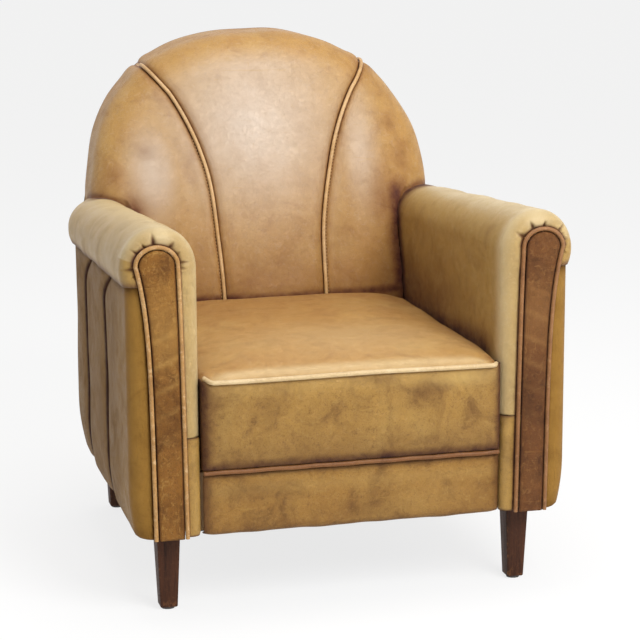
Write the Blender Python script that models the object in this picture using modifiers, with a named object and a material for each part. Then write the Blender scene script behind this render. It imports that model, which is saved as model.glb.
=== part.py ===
"""Worn leather club chair with a fan back. Metres, +Z up, the sitter looks along -Y.

Depths are measured backward from the front of the arm facings. At the end the whole chair is
moved along Y, so that the frame's origin lies on the floor under the middle of its box.
"""
import math

import bmesh
import bpy
from mathutils import Vector

# Fits
CLEARANCE = 0.0003        # between hard pieces that touch
SOFT_GAP = 0.0006         # between layers of upholstery
SETTLING_ROUNDS = 8       # for depths that depend on the height of the same point
SIDE_GAP = 0.0025         # between the seat or back and the arms
LEATHER = 0.0020
UNDER_LEATHER = LEATHER + SOFT_GAP
SIDES = {"left": -1, "right": 1}

# Depths that the back, the arms and the frame share
BACK_FACE_DEPTH = 0.5200  # front face of the back at the seat
FRAME_DEPTH = 0.1150      # from the back's face to its frame
POST_THICK = 0.0350
BACK_DEPTH = FRAME_DEPTH + POST_THICK

# Arms: an upright inner wall with an elliptic roll on top
ARM_INNER_X = 0.2465
ROLL_OUTER_X = 0.3670
ARM_CROWN_Z = 0.6280
ARM_FALL = 0.070          # fall of the arm's top for each metre back
ROLL_HEIGHT = 0.0680      # crown above the roll's widest line, at the front
ROLL_TAPER = 0.034        # loss of that height for each metre back
HEM_DROP = 0.0240         # hem of the roll's leather below the widest line
HEM_TUCK = 0.0050
ARM_JOIN_Z = 0.2940       # lower end of the inside arm leather
ARM_STUFFING = 0.0265     # leather and stuffing together
ARM_FACE_DEPTH = 0.0113   # front of the leather round the facing
ARM_FRONT_ROUND = 0.0220
ARM_FACE_LIP = 0.0160
ROLL_TURN_DEPTH = BACK_FACE_DEPTH  # from here back the roll curves inward on an ellipse
ROLL_TURN_LENGTH = 0.190
ROLL_TURN_WIDTH = 0.055
WALL_STEPS = 4
ROLL_STEPS = 12
ROUND_STEPS = 3
LENGTH_STEPS = 6
ARM_STEPS = WALL_STEPS + ROLL_STEPS + 1
ARM_ROWS = 1 + ROUND_STEPS + LENGTH_STEPS

# Outside arm panels: three upright channels
PANEL_X = 0.3590
PANEL_LIP = 0.0200
PANEL_BOTTOM_Z = 0.1340
PANEL_RISE = 0.022        # rise of the lower edge for each metre back
PANEL_TUCK = 0.0100       # the foot of the panel turns inward by this much
PANEL_TUCK_HEIGHT = 0.080
PANEL_MIN = 0.0040
PANEL_TURN_LEAD = 0.0400  # the panel turns inward this much before the back's face
PANEL_TURN_DEPTH = BACK_FACE_DEPTH - PANEL_TURN_LEAD
PANEL_TURN_LENGTH = 0.230
PANEL_TURN_WIDTH = 0.055
CHANNEL_SEAMS = (0.245, 0.450)
CHANNEL_DIP = 0.0050
CHANNEL_STEPS = 4
PANEL_LOW_ROWS = 4        # up to where the rake starts
PANEL_ROWS = 6
PANEL_CROWDING = 1.5      # brings the low rows nearer to the foot
PANEL_FRONT_STEPS = 1 + ROUND_STEPS
PANEL_STEPS = PANEL_FRONT_STEPS + CHANNEL_STEPS * (len(CHANNEL_SEAMS) + 1)

# Strips at the feet of the arms' inner front edges
STRIP_BOTTOM_Z = 0.1335
STRIP_ROUND = 0.0150

# Back: an arched head on a neck between the arms, with three panels that fan out
SEAT_BACK_Z = 0.4100      # the rake starts here
BACK_RAKE = 0.330
BACK_CURVE = 0.480        # depth lost towards the sides, over the square of X
BACK_BOTTOM_Z = 0.3000
BACK_HALF_WIDTH = 0.3180
BACK_SPRING_Z = 0.5550    # the arch springs here
BACK_ARCH_HEIGHT = 0.3170
BACK_WING_Z = 0.5960      # lowest point of the head, just above the arms
ARCH_POWER = 2.3
BACK_ROUND = 0.0550
SEAM_FOOT_X = 0.0940
SEAM_SHARE = 0.4410       # share of the half arch between its crown and a seam
SEAM_BEND = 3.7
WING_BEND = 14.0
SEAM_OPENING = 0.0030
SEAM_DIP = 0.0070
DIP_POWER = 4
CENTRE_STEPS = 3
WING_STEPS = 5
BACK_LOW_ROWS = 2
BACK_ROWS = 8
RIM_STEPS = 4
BACK_PIPING_START = 2.3   # in rows, just above the seat
BACK_PANEL_THICK = 0.0040
BACK_PANEL_GAP = 0.0018
BACK_PANEL_FOOT_Z = 0.1500
BACK_SHOULDER = (0.3330, 0.5620)
BACK_PANEL_STEPS = 12
BACK_PANEL_LOW_ROWS = 2
BACK_PANEL_ROWS = 8

# Frame
RAIL_BOTTOM_Z = 0.1375
RAIL_HEIGHT = 0.0950
RAIL_TOP_Z = RAIL_BOTTOM_Z + RAIL_HEIGHT
RAIL_THICK = 0.0220
FRAME_OUTER_X = 0.3200
REAR_RAIL_HALF = 0.3180
FRONT_RAIL_DEPTH = 0.0300
STUMP_BACK_DEPTH = 0.0545
ARM_RAIL_DROP = 0.0200    # under the roll's widest line
ARM_RAIL_SLACK = 0.0025   # between the roll's stuffing and its rail
ARM_RAIL_SPANS = 4
POST_WIDTH = 0.0380
ARCH_RAIL_INSET = 0.0100
ARCH_RAIL_WIDTH = 0.0450
ARCH_RAIL_STEPS = 20
CROSS_RAIL_Z = 0.2800
CROSS_RAIL_HEIGHT = 0.0500
BLOCK_LEG = 0.0900
BLOCK_HEIGHT = 0.0750
WOOD_EDGE = 0.0015

# Suspension
WIRE_RADIUS = 0.0018
SPRINGS = 4
SPRING_PITCH = 0.1300
SPRING_HALF_WIDTH = 0.0220
SPRING_BENDS = 14
SPRING_REST = 0.0100      # how far a spring's end lies in from a rail's edge
JUTE = 0.0020
JUTE_HALF_WIDTH = 0.2700
STRAP_THICK = 0.0015
STRAP_WIDTH = 0.0500
LOW_STRAP_Z = 0.4350
LOW_STRAP_HALF = 0.3050
HIGH_STRAP_Z = 0.6600
HIGH_STRAP_HALF = 0.2620
CLOTH = 0.0012
CLOTH_HALF_WIDTH = 0.2550

# Seat
SEAT_FRONT_DEPTH = 0.0080
SEAT_BOTTOM_Z = RAIL_TOP_Z + 2 * CLEARANCE + 2 * WIRE_RADIUS + JUTE + SOFT_GAP
SEAT_EDGE_Z = 0.3860
SEAT_CROWN = 0.0260
SEAT_RISE_DEPTH = 0.140
SEAT_ROUND = 0.0100
SEAT_FLAP = 0.0500
SEAT_CROWN_POWER = 4
SEAT_STEPS = 8
SEAT_ROWS = 8
PIPING_RADIUS = 0.0040
LOW_PIPING_Z = SEAT_BOTTOM_Z - SOFT_GAP - PIPING_RADIUS
LOW_PIPING_DEPTH = 0.0125
APRON_DEPTH = 0.0160
APRON_BOTTOM_Z = 0.1330
APRON_EDGE = 0.0040

# Facings: tall boards under leather, with a round head
FACING_X = 0.2960
FACING_HALF = 0.0205
FACING_FLARE = 0.0080
FACING_LEAN = 0.0060
FACING_BEND = 0.0100
FACING_BOTTOM_Z = 0.1330
FACING_HEAD_Z = 0.5680
FACING_HEAD_HEIGHT = 0.0250
FACING_CURVE = 6
FACING_THICK = 0.0080
FACING_STEPS = 10
HEAD_STEPS = 10

# Legs
FRONT_LEG = (0.2925, 0.0750)
REAR_LEG = (0.2785, BACK_FACE_DEPTH + FRAME_DEPTH + POST_THICK / 2)
LEG_TOP = 0.0390
LEG_FOOT = 0.0310
GLIDE_THICK = 0.0030
GLIDE_RADIUS = 0.0110
BOLT_RADIUS = 0.0040
BOLT_IN_LEG = 0.0450
BOLT_IN_FRAME = 0.0450
BOLT_END_GAP = 0.0020
ROUND_SIDES = 12

COLOURS = {
    "tan_leather": ((0.42, 0.23, 0.08), 0.45, 0.0),
    "dark_leather": ((0.20, 0.10, 0.045), 0.6, 0.0),
    "pale_piping": ((0.62, 0.44, 0.26), 0.5, 0.0),
    "brown_piping": ((0.17, 0.08, 0.03), 0.55, 0.0),
    "beech": ((0.55, 0.36, 0.20), 0.6, 0.0),
    "dark_wood": ((0.06, 0.025, 0.012), 0.45, 0.0),
    "steel": ((0.45, 0.45, 0.46), 0.35, 1.0),
    "nylon": ((0.05, 0.05, 0.05), 0.5, 0.0),
    "stuffing": ((0.75, 0.68, 0.50), 0.95, 0.0),
    "jute": ((0.45, 0.33, 0.18), 0.95, 0.0),
    "black_cloth": ((0.02, 0.02, 0.02), 0.95, 0.0),
}


def clear_scene():
    for old in list(bpy.data.objects):
        bpy.data.objects.remove(old)


def new_collection(name):
    collection = bpy.data.collections.new(name)
    bpy.context.scene.collection.children.link(collection)
    return collection


def material(name):
    colour, roughness, metallic = COLOURS[name]
    made = bpy.data.materials.new(name)
    made.use_nodes = True
    shader = made.node_tree.nodes["Principled BSDF"]
    shader.inputs["Base Color"].default_value = (*colour, 1.0)
    shader.inputs["Roughness"].default_value = roughness
    shader.inputs["Metallic"].default_value = metallic
    return made


clear_scene()
CHAIR = new_collection("club_chair")
CUTTERS = new_collection("cutters")
GROUND = bpy.data.objects.new("ground", None)
CHAIR.objects.link(GROUND)
MATERIALS = {name: material(name) for name in COLOURS}


def place(name, data, finish):
    """Put new mesh or curve data in the chair, with its material."""
    data.materials.append(MATERIALS[finish])
    piece = bpy.data.objects.new(name, data)
    CHAIR.objects.link(piece)
    piece.parent = GROUND
    return piece


def smooth_mesh(bm, name, sharp_angle=40):
    mesh = bpy.data.meshes.new(name)
    bm.to_mesh(mesh)
    bm.free()
    mesh.shade_smooth()
    mesh.set_sharp_from_angle(angle=math.radians(sharp_angle))
    return mesh


def closed_piece(bm, name, finish):
    bmesh.ops.recalc_face_normals(bm, faces=bm.faces)
    return place(name, smooth_mesh(bm, name), finish)


def soften(piece, width):
    edge = piece.modifiers.new("edges", "BEVEL")
    edge.width = width
    edge.segments = 1


def box(name, low, high, finish, edge=0.0):
    """A box between two corners."""
    bm = bmesh.new()
    bmesh.ops.create_cube(bm, size=1.0)
    bmesh.ops.scale(bm, vec=Vector(high) - Vector(low), verts=bm.verts)
    piece = closed_piece(bm, name, finish)
    piece.location = (Vector(low) + Vector(high)) / 2
    if edge:
        soften(piece, edge)
    return piece


def round_bar(name, radius, height):
    """Mesh of an upright cylinder about its middle."""
    bm = bmesh.new()
    bmesh.ops.create_cone(
        bm, cap_ends=True, segments=ROUND_SIDES, radius1=radius, radius2=radius, depth=height)
    return smooth_mesh(bm, name)


def grid_sheet(bm, point, across, along):
    """Add an open grid whose corners follow point(i, j), and return its corners by (i, j)."""
    made = bmesh.ops.create_grid(bm, x_segments=across, y_segments=along, size=1.0)
    corners = {}
    for corner in made["verts"]:
        i = round((corner.co.x + 1) / 2 * across)
        j = round((corner.co.y + 1) / 2 * along)
        corners[i, j] = corner
        corner.co = point(i, j)
    return corners


def skin(name, point, across, along, finish, mirrored=False, thickness=LEATHER):
    """A skin of even thickness under an open sheet. A mirrored sheet's faces are turned round."""
    bm = bmesh.new()
    grid_sheet(bm, point, across, along)
    if mirrored:
        bmesh.ops.reverse_faces(bm, faces=bm.faces)
    piece = place(name, smooth_mesh(bm, name), finish)
    wall = piece.modifiers.new("thickness", "SOLIDIFY")
    wall.thickness = thickness
    wall.offset = -1.0
    return piece


def body_between(name, outer, inner, across, along, finish):
    """A closed body between two grids, joined round their borders."""
    bm = bmesh.new()
    near = grid_sheet(bm, outer, across, along)
    far = grid_sheet(bm, inner, across, along)
    border = [(i, 0) for i in range(across)]
    border += [(across, j) for j in range(along)]
    border += [(i, along) for i in range(across, 0, -1)]
    border += [(0, j) for j in range(along, 0, -1)]
    for here, there in zip(border, border[1:] + border[:1]):
        bm.faces.new((near[here], near[there], far[there], far[here]))
    return closed_piece(bm, name, finish)


def loft(name, rings, finish):
    """A closed body through rings of corners, with flat ends."""
    bm = bmesh.new()
    rows = [[bm.verts.new(corner) for corner in ring] for ring in rings]
    count = len(rows[0])
    for near, far in zip(rows, rows[1:]):
        for k in range(count):
            after = (k + 1) % count
            bm.faces.new((near[k], near[after], far[after], far[k]))
    bm.faces.new(rows[0])
    bm.faces.new(rows[-1])
    return closed_piece(bm, name, finish)


def tube(name, points, radius, finish, resolution=2):
    """A piping or wire through the points, with closed ends."""
    curve = bpy.data.curves.new(name, "CURVE")
    curve.dimensions = "3D"
    curve.bevel_depth = radius
    curve.bevel_resolution = resolution
    curve.use_fill_caps = True
    line = curve.splines.new("POLY")
    line.points.add(len(points) - 1)
    for knot, point in zip(line.points, points):
        knot.co = (*point, 1.0)
    return place(name, curve, finish)


def plate(name, outline, depth, thickness, finish):
    """A flat board with an upright outline of (x, z) points, its front at the depth."""
    curve = bpy.data.curves.new(name, "CURVE")
    curve.dimensions = "2D"
    curve.fill_mode = "BOTH"
    curve.extrude = thickness / 2
    line = curve.splines.new("POLY")
    line.points.add(len(outline) - 1)
    line.use_cyclic_u = True
    for knot, (x, z) in zip(line.points, outline):
        knot.co = (x, z, 0.0, 1.0)
    piece = place(name, curve, finish)
    piece.rotation_euler = (math.pi / 2, 0, 0)
    piece.location = (0, depth + thickness / 2, 0)
    return piece


def bolt_hole(piece, x, depth, low, high):
    """Cut an upright round hole for a leg bolt."""
    name = piece.name + "_hole_" + ("left" if x < 0 else "right")
    cutter = bpy.data.objects.new(name, round_bar(name, BOLT_RADIUS + CLEARANCE, high - low))
    CUTTERS.objects.link(cutter)
    cutter.parent = GROUND
    cutter.location = (x, depth, (low + high) / 2)
    cutter.hide_render = True
    cutter.display_type = "WIRE"
    cut = piece.modifiers.new(name, "BOOLEAN")
    cut.operation = "DIFFERENCE"
    cut.object = cutter


# Shape of the arms

def roll_outer(depth):
    """The roll's widest X: straight, then curving inward on an ellipse."""
    turn = min(1.0, max(0.0, depth - ROLL_TURN_DEPTH) / ROLL_TURN_LENGTH)
    return ROLL_OUTER_X - ROLL_TURN_WIDTH * (1 - math.sqrt(1 - turn * turn))


def arm_section(step, depth, inset):
    """Point (x, z) of the arm's section: up the inner wall, over the roll, down to the hem."""
    crown = ARM_CROWN_Z - ARM_FALL * depth
    widest = crown - (ROLL_HEIGHT - ROLL_TAPER * depth)
    inner = ARM_INNER_X + inset
    outer = roll_outer(depth) - inset
    if step <= WALL_STEPS:
        return inner, ARM_JOIN_Z + (widest - ARM_JOIN_Z) * step / WALL_STEPS
    if step < ARM_STEPS:
        turn = math.pi * (step - WALL_STEPS) / ROLL_STEPS
        x = (inner + outer) / 2 - (outer - inner) / 2 * math.cos(turn)
        return x, widest + (crown - inset - widest) * math.sin(turn)
    return outer - HEM_TUCK, widest - HEM_DROP


def back_base(z):
    """Depth of the back's front face on its middle line."""
    return BACK_FACE_DEPTH + BACK_RAKE * max(0.0, z - SEAT_BACK_Z)


def arm_end(z):
    return back_base(z) + FRAME_DEPTH - SIDE_GAP


def arm_point(side, step, row, inset, layer):
    """Point of a layer of the arm, rounded over to the facing at the front."""
    turn = math.pi / 2 * min(max(row - 1, 0), ROUND_STEPS) / ROUND_STEPS
    depth = ARM_FACE_DEPTH + layer + ARM_FRONT_ROUND * (1 - math.cos(turn))
    shrink = layer + ARM_FRONT_ROUND * (1 - math.sin(turn))
    if row == 0:
        shrink += ARM_FACE_LIP
    x, z = arm_section(step, depth, max(inset, shrink))
    if row > 1 + ROUND_STEPS:
        share = (row - 1 - ROUND_STEPS) / LENGTH_STEPS
        start = depth
        for _ in range(SETTLING_ROUNDS):
            depth = start + (arm_end(z) - start) * share
            x, z = arm_section(step, depth, inset)
    return Vector((side * x, depth, z))


def arm_leather(side):
    return lambda step, row: arm_point(side, step, row, 0.0, 0.0)


def arm_stuffing(side, inset):
    return lambda step, row: arm_point(side, step, row + 1, inset, UNDER_LEATHER)


def hem_z(depth):
    return arm_section(ARM_STEPS, depth, 0.0)[1]


# Shape of the outside arm panels

def panel_plan(step, z):
    """Plan point (x, depth) of an outside panel, from its lip round the front to the rear."""
    round_turn = math.pi / 2 * min(max(step - 1, 0), ROUND_STEPS) / ROUND_STEPS
    x = PANEL_X - ARM_FRONT_ROUND * (1 - math.sin(round_turn))
    depth = ARM_FACE_DEPTH + ARM_FRONT_ROUND * (1 - math.cos(round_turn))
    if step == 0:
        x -= PANEL_LIP
    if step > PANEL_FRONT_STEPS:
        ends = (depth, *CHANNEL_SEAMS, back_base(z) + BACK_DEPTH)
        channel, part = divmod(step - PANEL_FRONT_STEPS, CHANNEL_STEPS)
        if channel == len(CHANNEL_SEAMS) + 1:
            depth = ends[-1]
        else:
            depth = ends[channel] + (ends[channel + 1] - ends[channel]) * part / CHANNEL_STEPS
        turn = min(1.0, max(0.0, depth - PANEL_TURN_DEPTH) / PANEL_TURN_LENGTH)
        x = PANEL_X - PANEL_TURN_WIDTH * (1 - math.sqrt(1 - turn * turn))
        if part == 0 and depth in CHANNEL_SEAMS:
            x -= CHANNEL_DIP
    return x, depth


def panel_outer(side, step, row):
    """Point of the outside panel's leather."""
    low = PANEL_BOTTOM_Z + PANEL_RISE * panel_plan(step, SEAT_BACK_Z)[1]
    high = hem_z(0.0)
    for _ in range(SETTLING_ROUNDS):
        high = hem_z(panel_plan(step, high)[1]) - SOFT_GAP
    if row <= PANEL_LOW_ROWS:
        z = low + (SEAT_BACK_Z - low) * (row / PANEL_LOW_ROWS) ** PANEL_CROWDING
    else:
        rise = (row - PANEL_LOW_ROWS) / (PANEL_ROWS - PANEL_LOW_ROWS)
        z = SEAT_BACK_Z + (high - SEAT_BACK_Z) * rise
    x, depth = panel_plan(step, z)
    foot = max(0.0, 1 - (z - low) / PANEL_TUCK_HEIGHT)
    return Vector((side * (x - PANEL_TUCK * foot * foot), depth, z))


def panel_inner(side, step, row):
    """Point of the outside panel's back, flat against the frame."""
    outer = panel_outer(side, step, row)
    reach = abs(outer.x)
    if step == 0:
        return Vector((outer.x, ARM_FACE_DEPTH + LEATHER, outer.z))
    depth = max(outer.y, ARM_FACE_DEPTH + LEATHER)
    return Vector((side * min(FRAME_OUTER_X + SOFT_GAP, reach - PANEL_MIN), depth, outer.z))


# Shape of the back

def arch_at(turn, inset):
    """Point (x, z) of the right half of the arch, from its crown at 0 to its spring at pi / 2."""
    power = 2 / ARCH_POWER
    x = (BACK_HALF_WIDTH - inset) * math.sin(turn) ** power
    z = BACK_SPRING_Z + (BACK_ARCH_HEIGHT - inset) * max(0.0, math.cos(turn)) ** power
    return x, z


WING_TURN = math.acos(((BACK_WING_Z - BACK_SPRING_Z) / BACK_ARCH_HEIGHT) ** (ARCH_POWER / 2))


def row_height(row, top):
    """Height of a row of the back's face, with one row just where the rake starts."""
    if row <= BACK_LOW_ROWS:
        return BACK_BOTTOM_Z + (SEAT_BACK_Z - BACK_BOTTOM_Z) * row / BACK_LOW_ROWS
    return SEAT_BACK_Z + (top - SEAT_BACK_Z) * (row - BACK_LOW_ROWS) / (BACK_ROWS - BACK_LOW_ROWS)


def back_point(share, row, layer):
    """Point of a layer of the back, on a fanned column and then over the rim to the rear.

    The share is 0 on the middle line, SEAM_SHARE on a seam and 1 at the edge.
    """
    side = -1 if share < 0 else 1
    part = abs(share)
    turn = math.pi / 2 * min(max(row - BACK_ROWS, 0), RIM_STEPS) / RIM_STEPS
    rim = BACK_ROUND - layer
    x, z = arch_at(part * WING_TURN, layer + rim * (1 - math.sin(turn)))
    wing = max(0.0, part - SEAM_SHARE) / (1 - SEAM_SHARE)
    if row < BACK_ROWS:
        neck = ARM_INNER_X - SIDE_GAP - layer
        foot = SEAM_FOOT_X * min(1.0, part / SEAM_SHARE) + (neck - SEAM_FOOT_X) * wing
        bend = SEAM_BEND + (WING_BEND - SEAM_BEND) * wing
        rise = (row_height(row, z) - BACK_BOTTOM_Z) / (z - BACK_BOTTOM_Z)
        x = foot + (x - foot) * rise ** bend
        z = row_height(row, z)
    dip = SEAM_DIP * (1 - wing if wing else part / SEAM_SHARE) ** DIP_POWER
    face = back_base(z) + BACK_CURVE * min(x, BACK_HALF_WIDTH - BACK_ROUND) ** 2 + dip
    depth = face + layer + rim * (1 - math.cos(turn))
    if row > BACK_ROWS + RIM_STEPS:
        depth = back_base(z) + BACK_DEPTH
    return Vector((side * x, depth, z))


def column_share(column):
    """Share of a column counted from the middle line."""
    side = -1 if column < 0 else 1
    count = abs(column)
    if count <= CENTRE_STEPS:
        return side * SEAM_SHARE * count / CENTRE_STEPS
    return side * (SEAM_SHARE + (1 - SEAM_SHARE) * (count - CENTRE_STEPS) / WING_STEPS)


def back_leather(first, opening):
    """Leather of one back panel from its first column, which stops short of the seams."""
    def point(i, row):
        column = first + i
        share = column_share(column)
        if abs(column) == CENTRE_STEPS:
            share += opening if share > 0 else -opening
        return back_point(share, row, 0.0)
    return point


def back_stuffing(column, row):
    return back_point(column_share(column - CENTRE_STEPS - WING_STEPS), row, UNDER_LEATHER)


def back_stuffing_rear(column, row):
    front = back_stuffing(column, row)
    rear = back_base(front.z) + FRAME_DEPTH - STRAP_THICK - 2 * SOFT_GAP
    return Vector((front.x, rear, front.z))


def outside_back(step, row):
    """Point of the outside back panel, counted from its right edge."""
    share = 1 - 2 * step / BACK_PANEL_STEPS
    side = -1 if share < 0 else 1
    part = abs(share)
    if part == 1:
        top_x, top_z = BACK_SHOULDER
    else:
        top_x, top_z = arch_at(WING_TURN * part * BACK_PANEL_STEPS / (BACK_PANEL_STEPS - 2), 0.0)
    foot = BACK_SHOULDER[0] * part
    if row <= BACK_PANEL_LOW_ROWS:
        z = BACK_PANEL_FOOT_Z + (SEAT_BACK_Z - BACK_PANEL_FOOT_Z) * row / BACK_PANEL_LOW_ROWS
    else:
        share_up = (row - BACK_PANEL_LOW_ROWS) / (BACK_PANEL_ROWS - BACK_PANEL_LOW_ROWS)
        z = SEAT_BACK_Z + (top_z - SEAT_BACK_Z) * share_up
    rise = (z - BACK_PANEL_FOOT_Z) / (top_z - BACK_PANEL_FOOT_Z)
    depth = back_base(z) + BACK_DEPTH + BACK_PANEL_GAP + BACK_PANEL_THICK
    return Vector((side * (foot + (top_x - foot) * rise), depth, z))


# Shape of the seat

SEAT_HALF = ARM_INNER_X - SIDE_GAP


def seat_top(x, depth):
    """Height of the seat's leather."""
    across = 1 - abs(x / SEAT_HALF) ** SEAT_CROWN_POWER
    rise = 1 - (1 - min(1.0, (depth - SEAT_FRONT_DEPTH) / SEAT_RISE_DEPTH)) ** 2
    return SEAT_EDGE_Z + SEAT_CROWN * across * rise


def seat_point(step, row, layer):
    """Point of a layer of the seat's top, inside its rounded side edges."""
    x = (2 * step / SEAT_STEPS - 1) * (SEAT_HALF - SEAT_ROUND - layer)
    front = SEAT_FRONT_DEPTH + layer
    rear = BACK_FACE_DEPTH - SIDE_GAP + BACK_CURVE * x * x
    depth = front + (rear - front) * row / SEAT_ROWS
    return Vector((x, depth, seat_top(x, depth) - layer))


def seat_edge(side, row, layer, drop):
    """Point on a side of the seat, a drop under its top."""
    inner = seat_point(0 if side < 0 else SEAT_STEPS, row, layer)
    inner.x = side * (SEAT_HALF - layer)
    inner.z = SEAT_EDGE_Z - drop
    return inner


def seat_leather(step, row):
    if step in (0, SEAT_STEPS + 4):
        return seat_edge(-1 if step == 0 else 1, row, 0.0, SEAT_FLAP)
    if step in (1, SEAT_STEPS + 3):
        return seat_edge(-1 if step == 1 else 1, row, 0.0, SEAT_ROUND)
    return seat_point(step - 2, row, 0.0)


def seat_stuffing(step, row):
    if step in (0, SEAT_STEPS + 2):
        return seat_edge(-1 if step == 0 else 1, row, UNDER_LEATHER, SEAT_ROUND + UNDER_LEATHER)
    return seat_point(step - 1, row, UNDER_LEATHER)


def seat_stuffing_bottom(step, row):
    top = seat_stuffing(step, row)
    return Vector((top.x, top.y, SEAT_BOTTOM_Z))


# Shape of the facings

def facing_middle(share):
    return FACING_X + FACING_LEAN * share + FACING_BEND * share ** FACING_CURVE


def facing_outline(grow):
    """Points (x, z) from the inner foot over the head to the outer foot, grown by a margin."""
    def half(share):
        return FACING_HALF + grow + FACING_FLARE * share ** FACING_CURVE
    shares = [k / FACING_STEPS for k in range(FACING_STEPS + 1)]
    height = FACING_HEAD_Z - FACING_BOTTOM_Z
    inner = [(facing_middle(s) - half(s), FACING_BOTTOM_Z + height * s) for s in shares]
    outer = [(facing_middle(s) + half(s), FACING_BOTTOM_Z + height * s) for s in reversed(shares)]
    head = []
    for k in range(1, HEAD_STEPS):
        turn = math.pi * k / HEAD_STEPS
        x = facing_middle(1) - half(1) * math.cos(turn)
        head.append((x, FACING_HEAD_Z + (FACING_HEAD_HEIGHT + grow) * math.sin(turn)))
    return inner + head + outer


# Frame

def build_rails():
    inner = ARM_INNER_X + ARM_STUFFING + SOFT_GAP
    rear_depth = BACK_FACE_DEPTH + FRAME_DEPTH
    box(
        "front_rail",
        (-(inner - CLEARANCE), FRONT_RAIL_DEPTH, RAIL_BOTTOM_Z),
        (inner - CLEARANCE, STUMP_BACK_DEPTH, RAIL_TOP_Z), "beech", WOOD_EDGE)
    rear = box(
        "rear_rail",
        (-REAR_RAIL_HALF, rear_depth, RAIL_BOTTOM_Z),
        (REAR_RAIL_HALF, rear_depth + POST_THICK, RAIL_TOP_Z), "beech", WOOD_EDGE)
    for name, side in SIDES.items():
        xs = sorted((side * (FRAME_OUTER_X - RAIL_THICK), side * FRAME_OUTER_X))
        box(
            name + "_side_rail",
            (xs[0], STUMP_BACK_DEPTH + CLEARANCE, RAIL_BOTTOM_Z),
            (xs[1], rear_depth - CLEARANCE, RAIL_TOP_Z), "beech", WOOD_EDGE)
        cut_low = RAIL_BOTTOM_Z - BOLT_END_GAP
        cut_high = RAIL_BOTTOM_Z + BOLT_IN_FRAME + BOLT_END_GAP
        bolt_hole(rear, side * REAR_LEG[0], REAR_LEG[1], cut_low, cut_high)
        build_corner_block(name, side, cut_low, cut_high)


def build_corner_block(name, side, cut_low, cut_high):
    """A glue block behind the front rail that takes the front leg's bolt."""
    x = FRAME_OUTER_X - RAIL_THICK - CLEARANCE
    depth = STUMP_BACK_DEPTH + CLEARANCE
    plan = [(x, depth), (x - BLOCK_LEG, depth), (x, depth + BLOCK_LEG)]
    rings = [
        [(side * px, py, z) for px, py in plan]
        for z in (RAIL_BOTTOM_Z, RAIL_BOTTOM_Z + BLOCK_HEIGHT)]
    block = loft(name + "_corner_block", rings, "beech")
    bolt_hole(block, side * FRONT_LEG[0], FRONT_LEG[1], cut_low, cut_high)


def build_arm_frame(name, side):
    """Stump behind the facing and rail under the roll."""
    under = ARM_STUFFING + SOFT_GAP
    front = ARM_FACE_DEPTH + UNDER_LEATHER
    head = [arm_section(k, STUMP_BACK_DEPTH, under) for k in range(WALL_STEPS, ARM_STEPS)]
    shoulder_x = arm_section(ARM_STEPS, STUMP_BACK_DEPTH, under)[0]
    shoulder_z = hem_z(0.0)
    outline = [(head[0][0], RAIL_BOTTOM_Z), *head, (shoulder_x, shoulder_z)]
    outline += [(FRAME_OUTER_X, shoulder_z), (FRAME_OUTER_X, RAIL_BOTTOM_Z)]
    plate(
        name + "_arm_stump", [(side * x, z) for x, z in outline],
        front, STUMP_BACK_DEPTH - front, "beech")
    under += ARM_RAIL_SLACK
    rings = []
    for span in range(ARM_RAIL_SPANS + 1):
        share = span / ARM_RAIL_SPANS
        ring = []
        for k in range(WALL_STEPS, ARM_STEPS + 2):
            depth = STUMP_BACK_DEPTH + CLEARANCE
            z = ARM_CROWN_Z
            for _ in range(SETTLING_ROUNDS):
                step = min(k, ARM_STEPS)
                x, z = arm_section(step, depth, under)
                if k >= ARM_STEPS:
                    z += HEM_DROP - ARM_RAIL_DROP
                if k > ARM_STEPS:
                    x = arm_section(WALL_STEPS, depth, under)[0]
                start = STUMP_BACK_DEPTH + CLEARANCE
                end = back_base(z) + FRAME_DEPTH - CLEARANCE
                depth = start + (end - start) * share
            ring.append((side * x, depth, z))
        rings.append(ring)
    loft(name + "_arm_rail", rings, "beech")


def build_back_frame():
    inner = ARM_INNER_X + ARM_STUFFING + SOFT_GAP
    for name, side in SIDES.items():
        rings = []
        for z in (RAIL_TOP_Z + CLEARANCE, SEAT_BACK_Z, BACK_SPRING_Z - CLEARANCE):
            near = back_base(z) + FRAME_DEPTH
            far = near + POST_THICK
            xs = (side * inner, side * (inner + POST_WIDTH))
            rings.append([(xs[0], near, z), (xs[1], near, z), (xs[1], far, z), (xs[0], far, z)])
        loft(name + "_back_post", rings, "beech")
    rings = []
    for k in range(ARCH_RAIL_STEPS + 1):
        turn = math.pi * (k / ARCH_RAIL_STEPS - 0.5)
        ring = []
        for inset, added in (
                (ARCH_RAIL_INSET, 0.0), (ARCH_RAIL_INSET, POST_THICK),
                (ARCH_RAIL_INSET + ARCH_RAIL_WIDTH, POST_THICK),
                (ARCH_RAIL_INSET + ARCH_RAIL_WIDTH, 0.0)):
            x, z = arch_at(abs(turn), inset)
            ring.append((math.copysign(x, turn), back_base(z) + FRAME_DEPTH + added, z))
        rings.append(ring)
    loft("back_arch_rail", rings, "beech")
    half = inner - CLEARANCE
    depth = BACK_FACE_DEPTH + FRAME_DEPTH
    box(
        "back_cross_rail", (-half, depth, CROSS_RAIL_Z),
        (half, depth + POST_THICK, CROSS_RAIL_Z + CROSS_RAIL_HEIGHT), "beech", WOOD_EDGE)


# Legs

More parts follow.
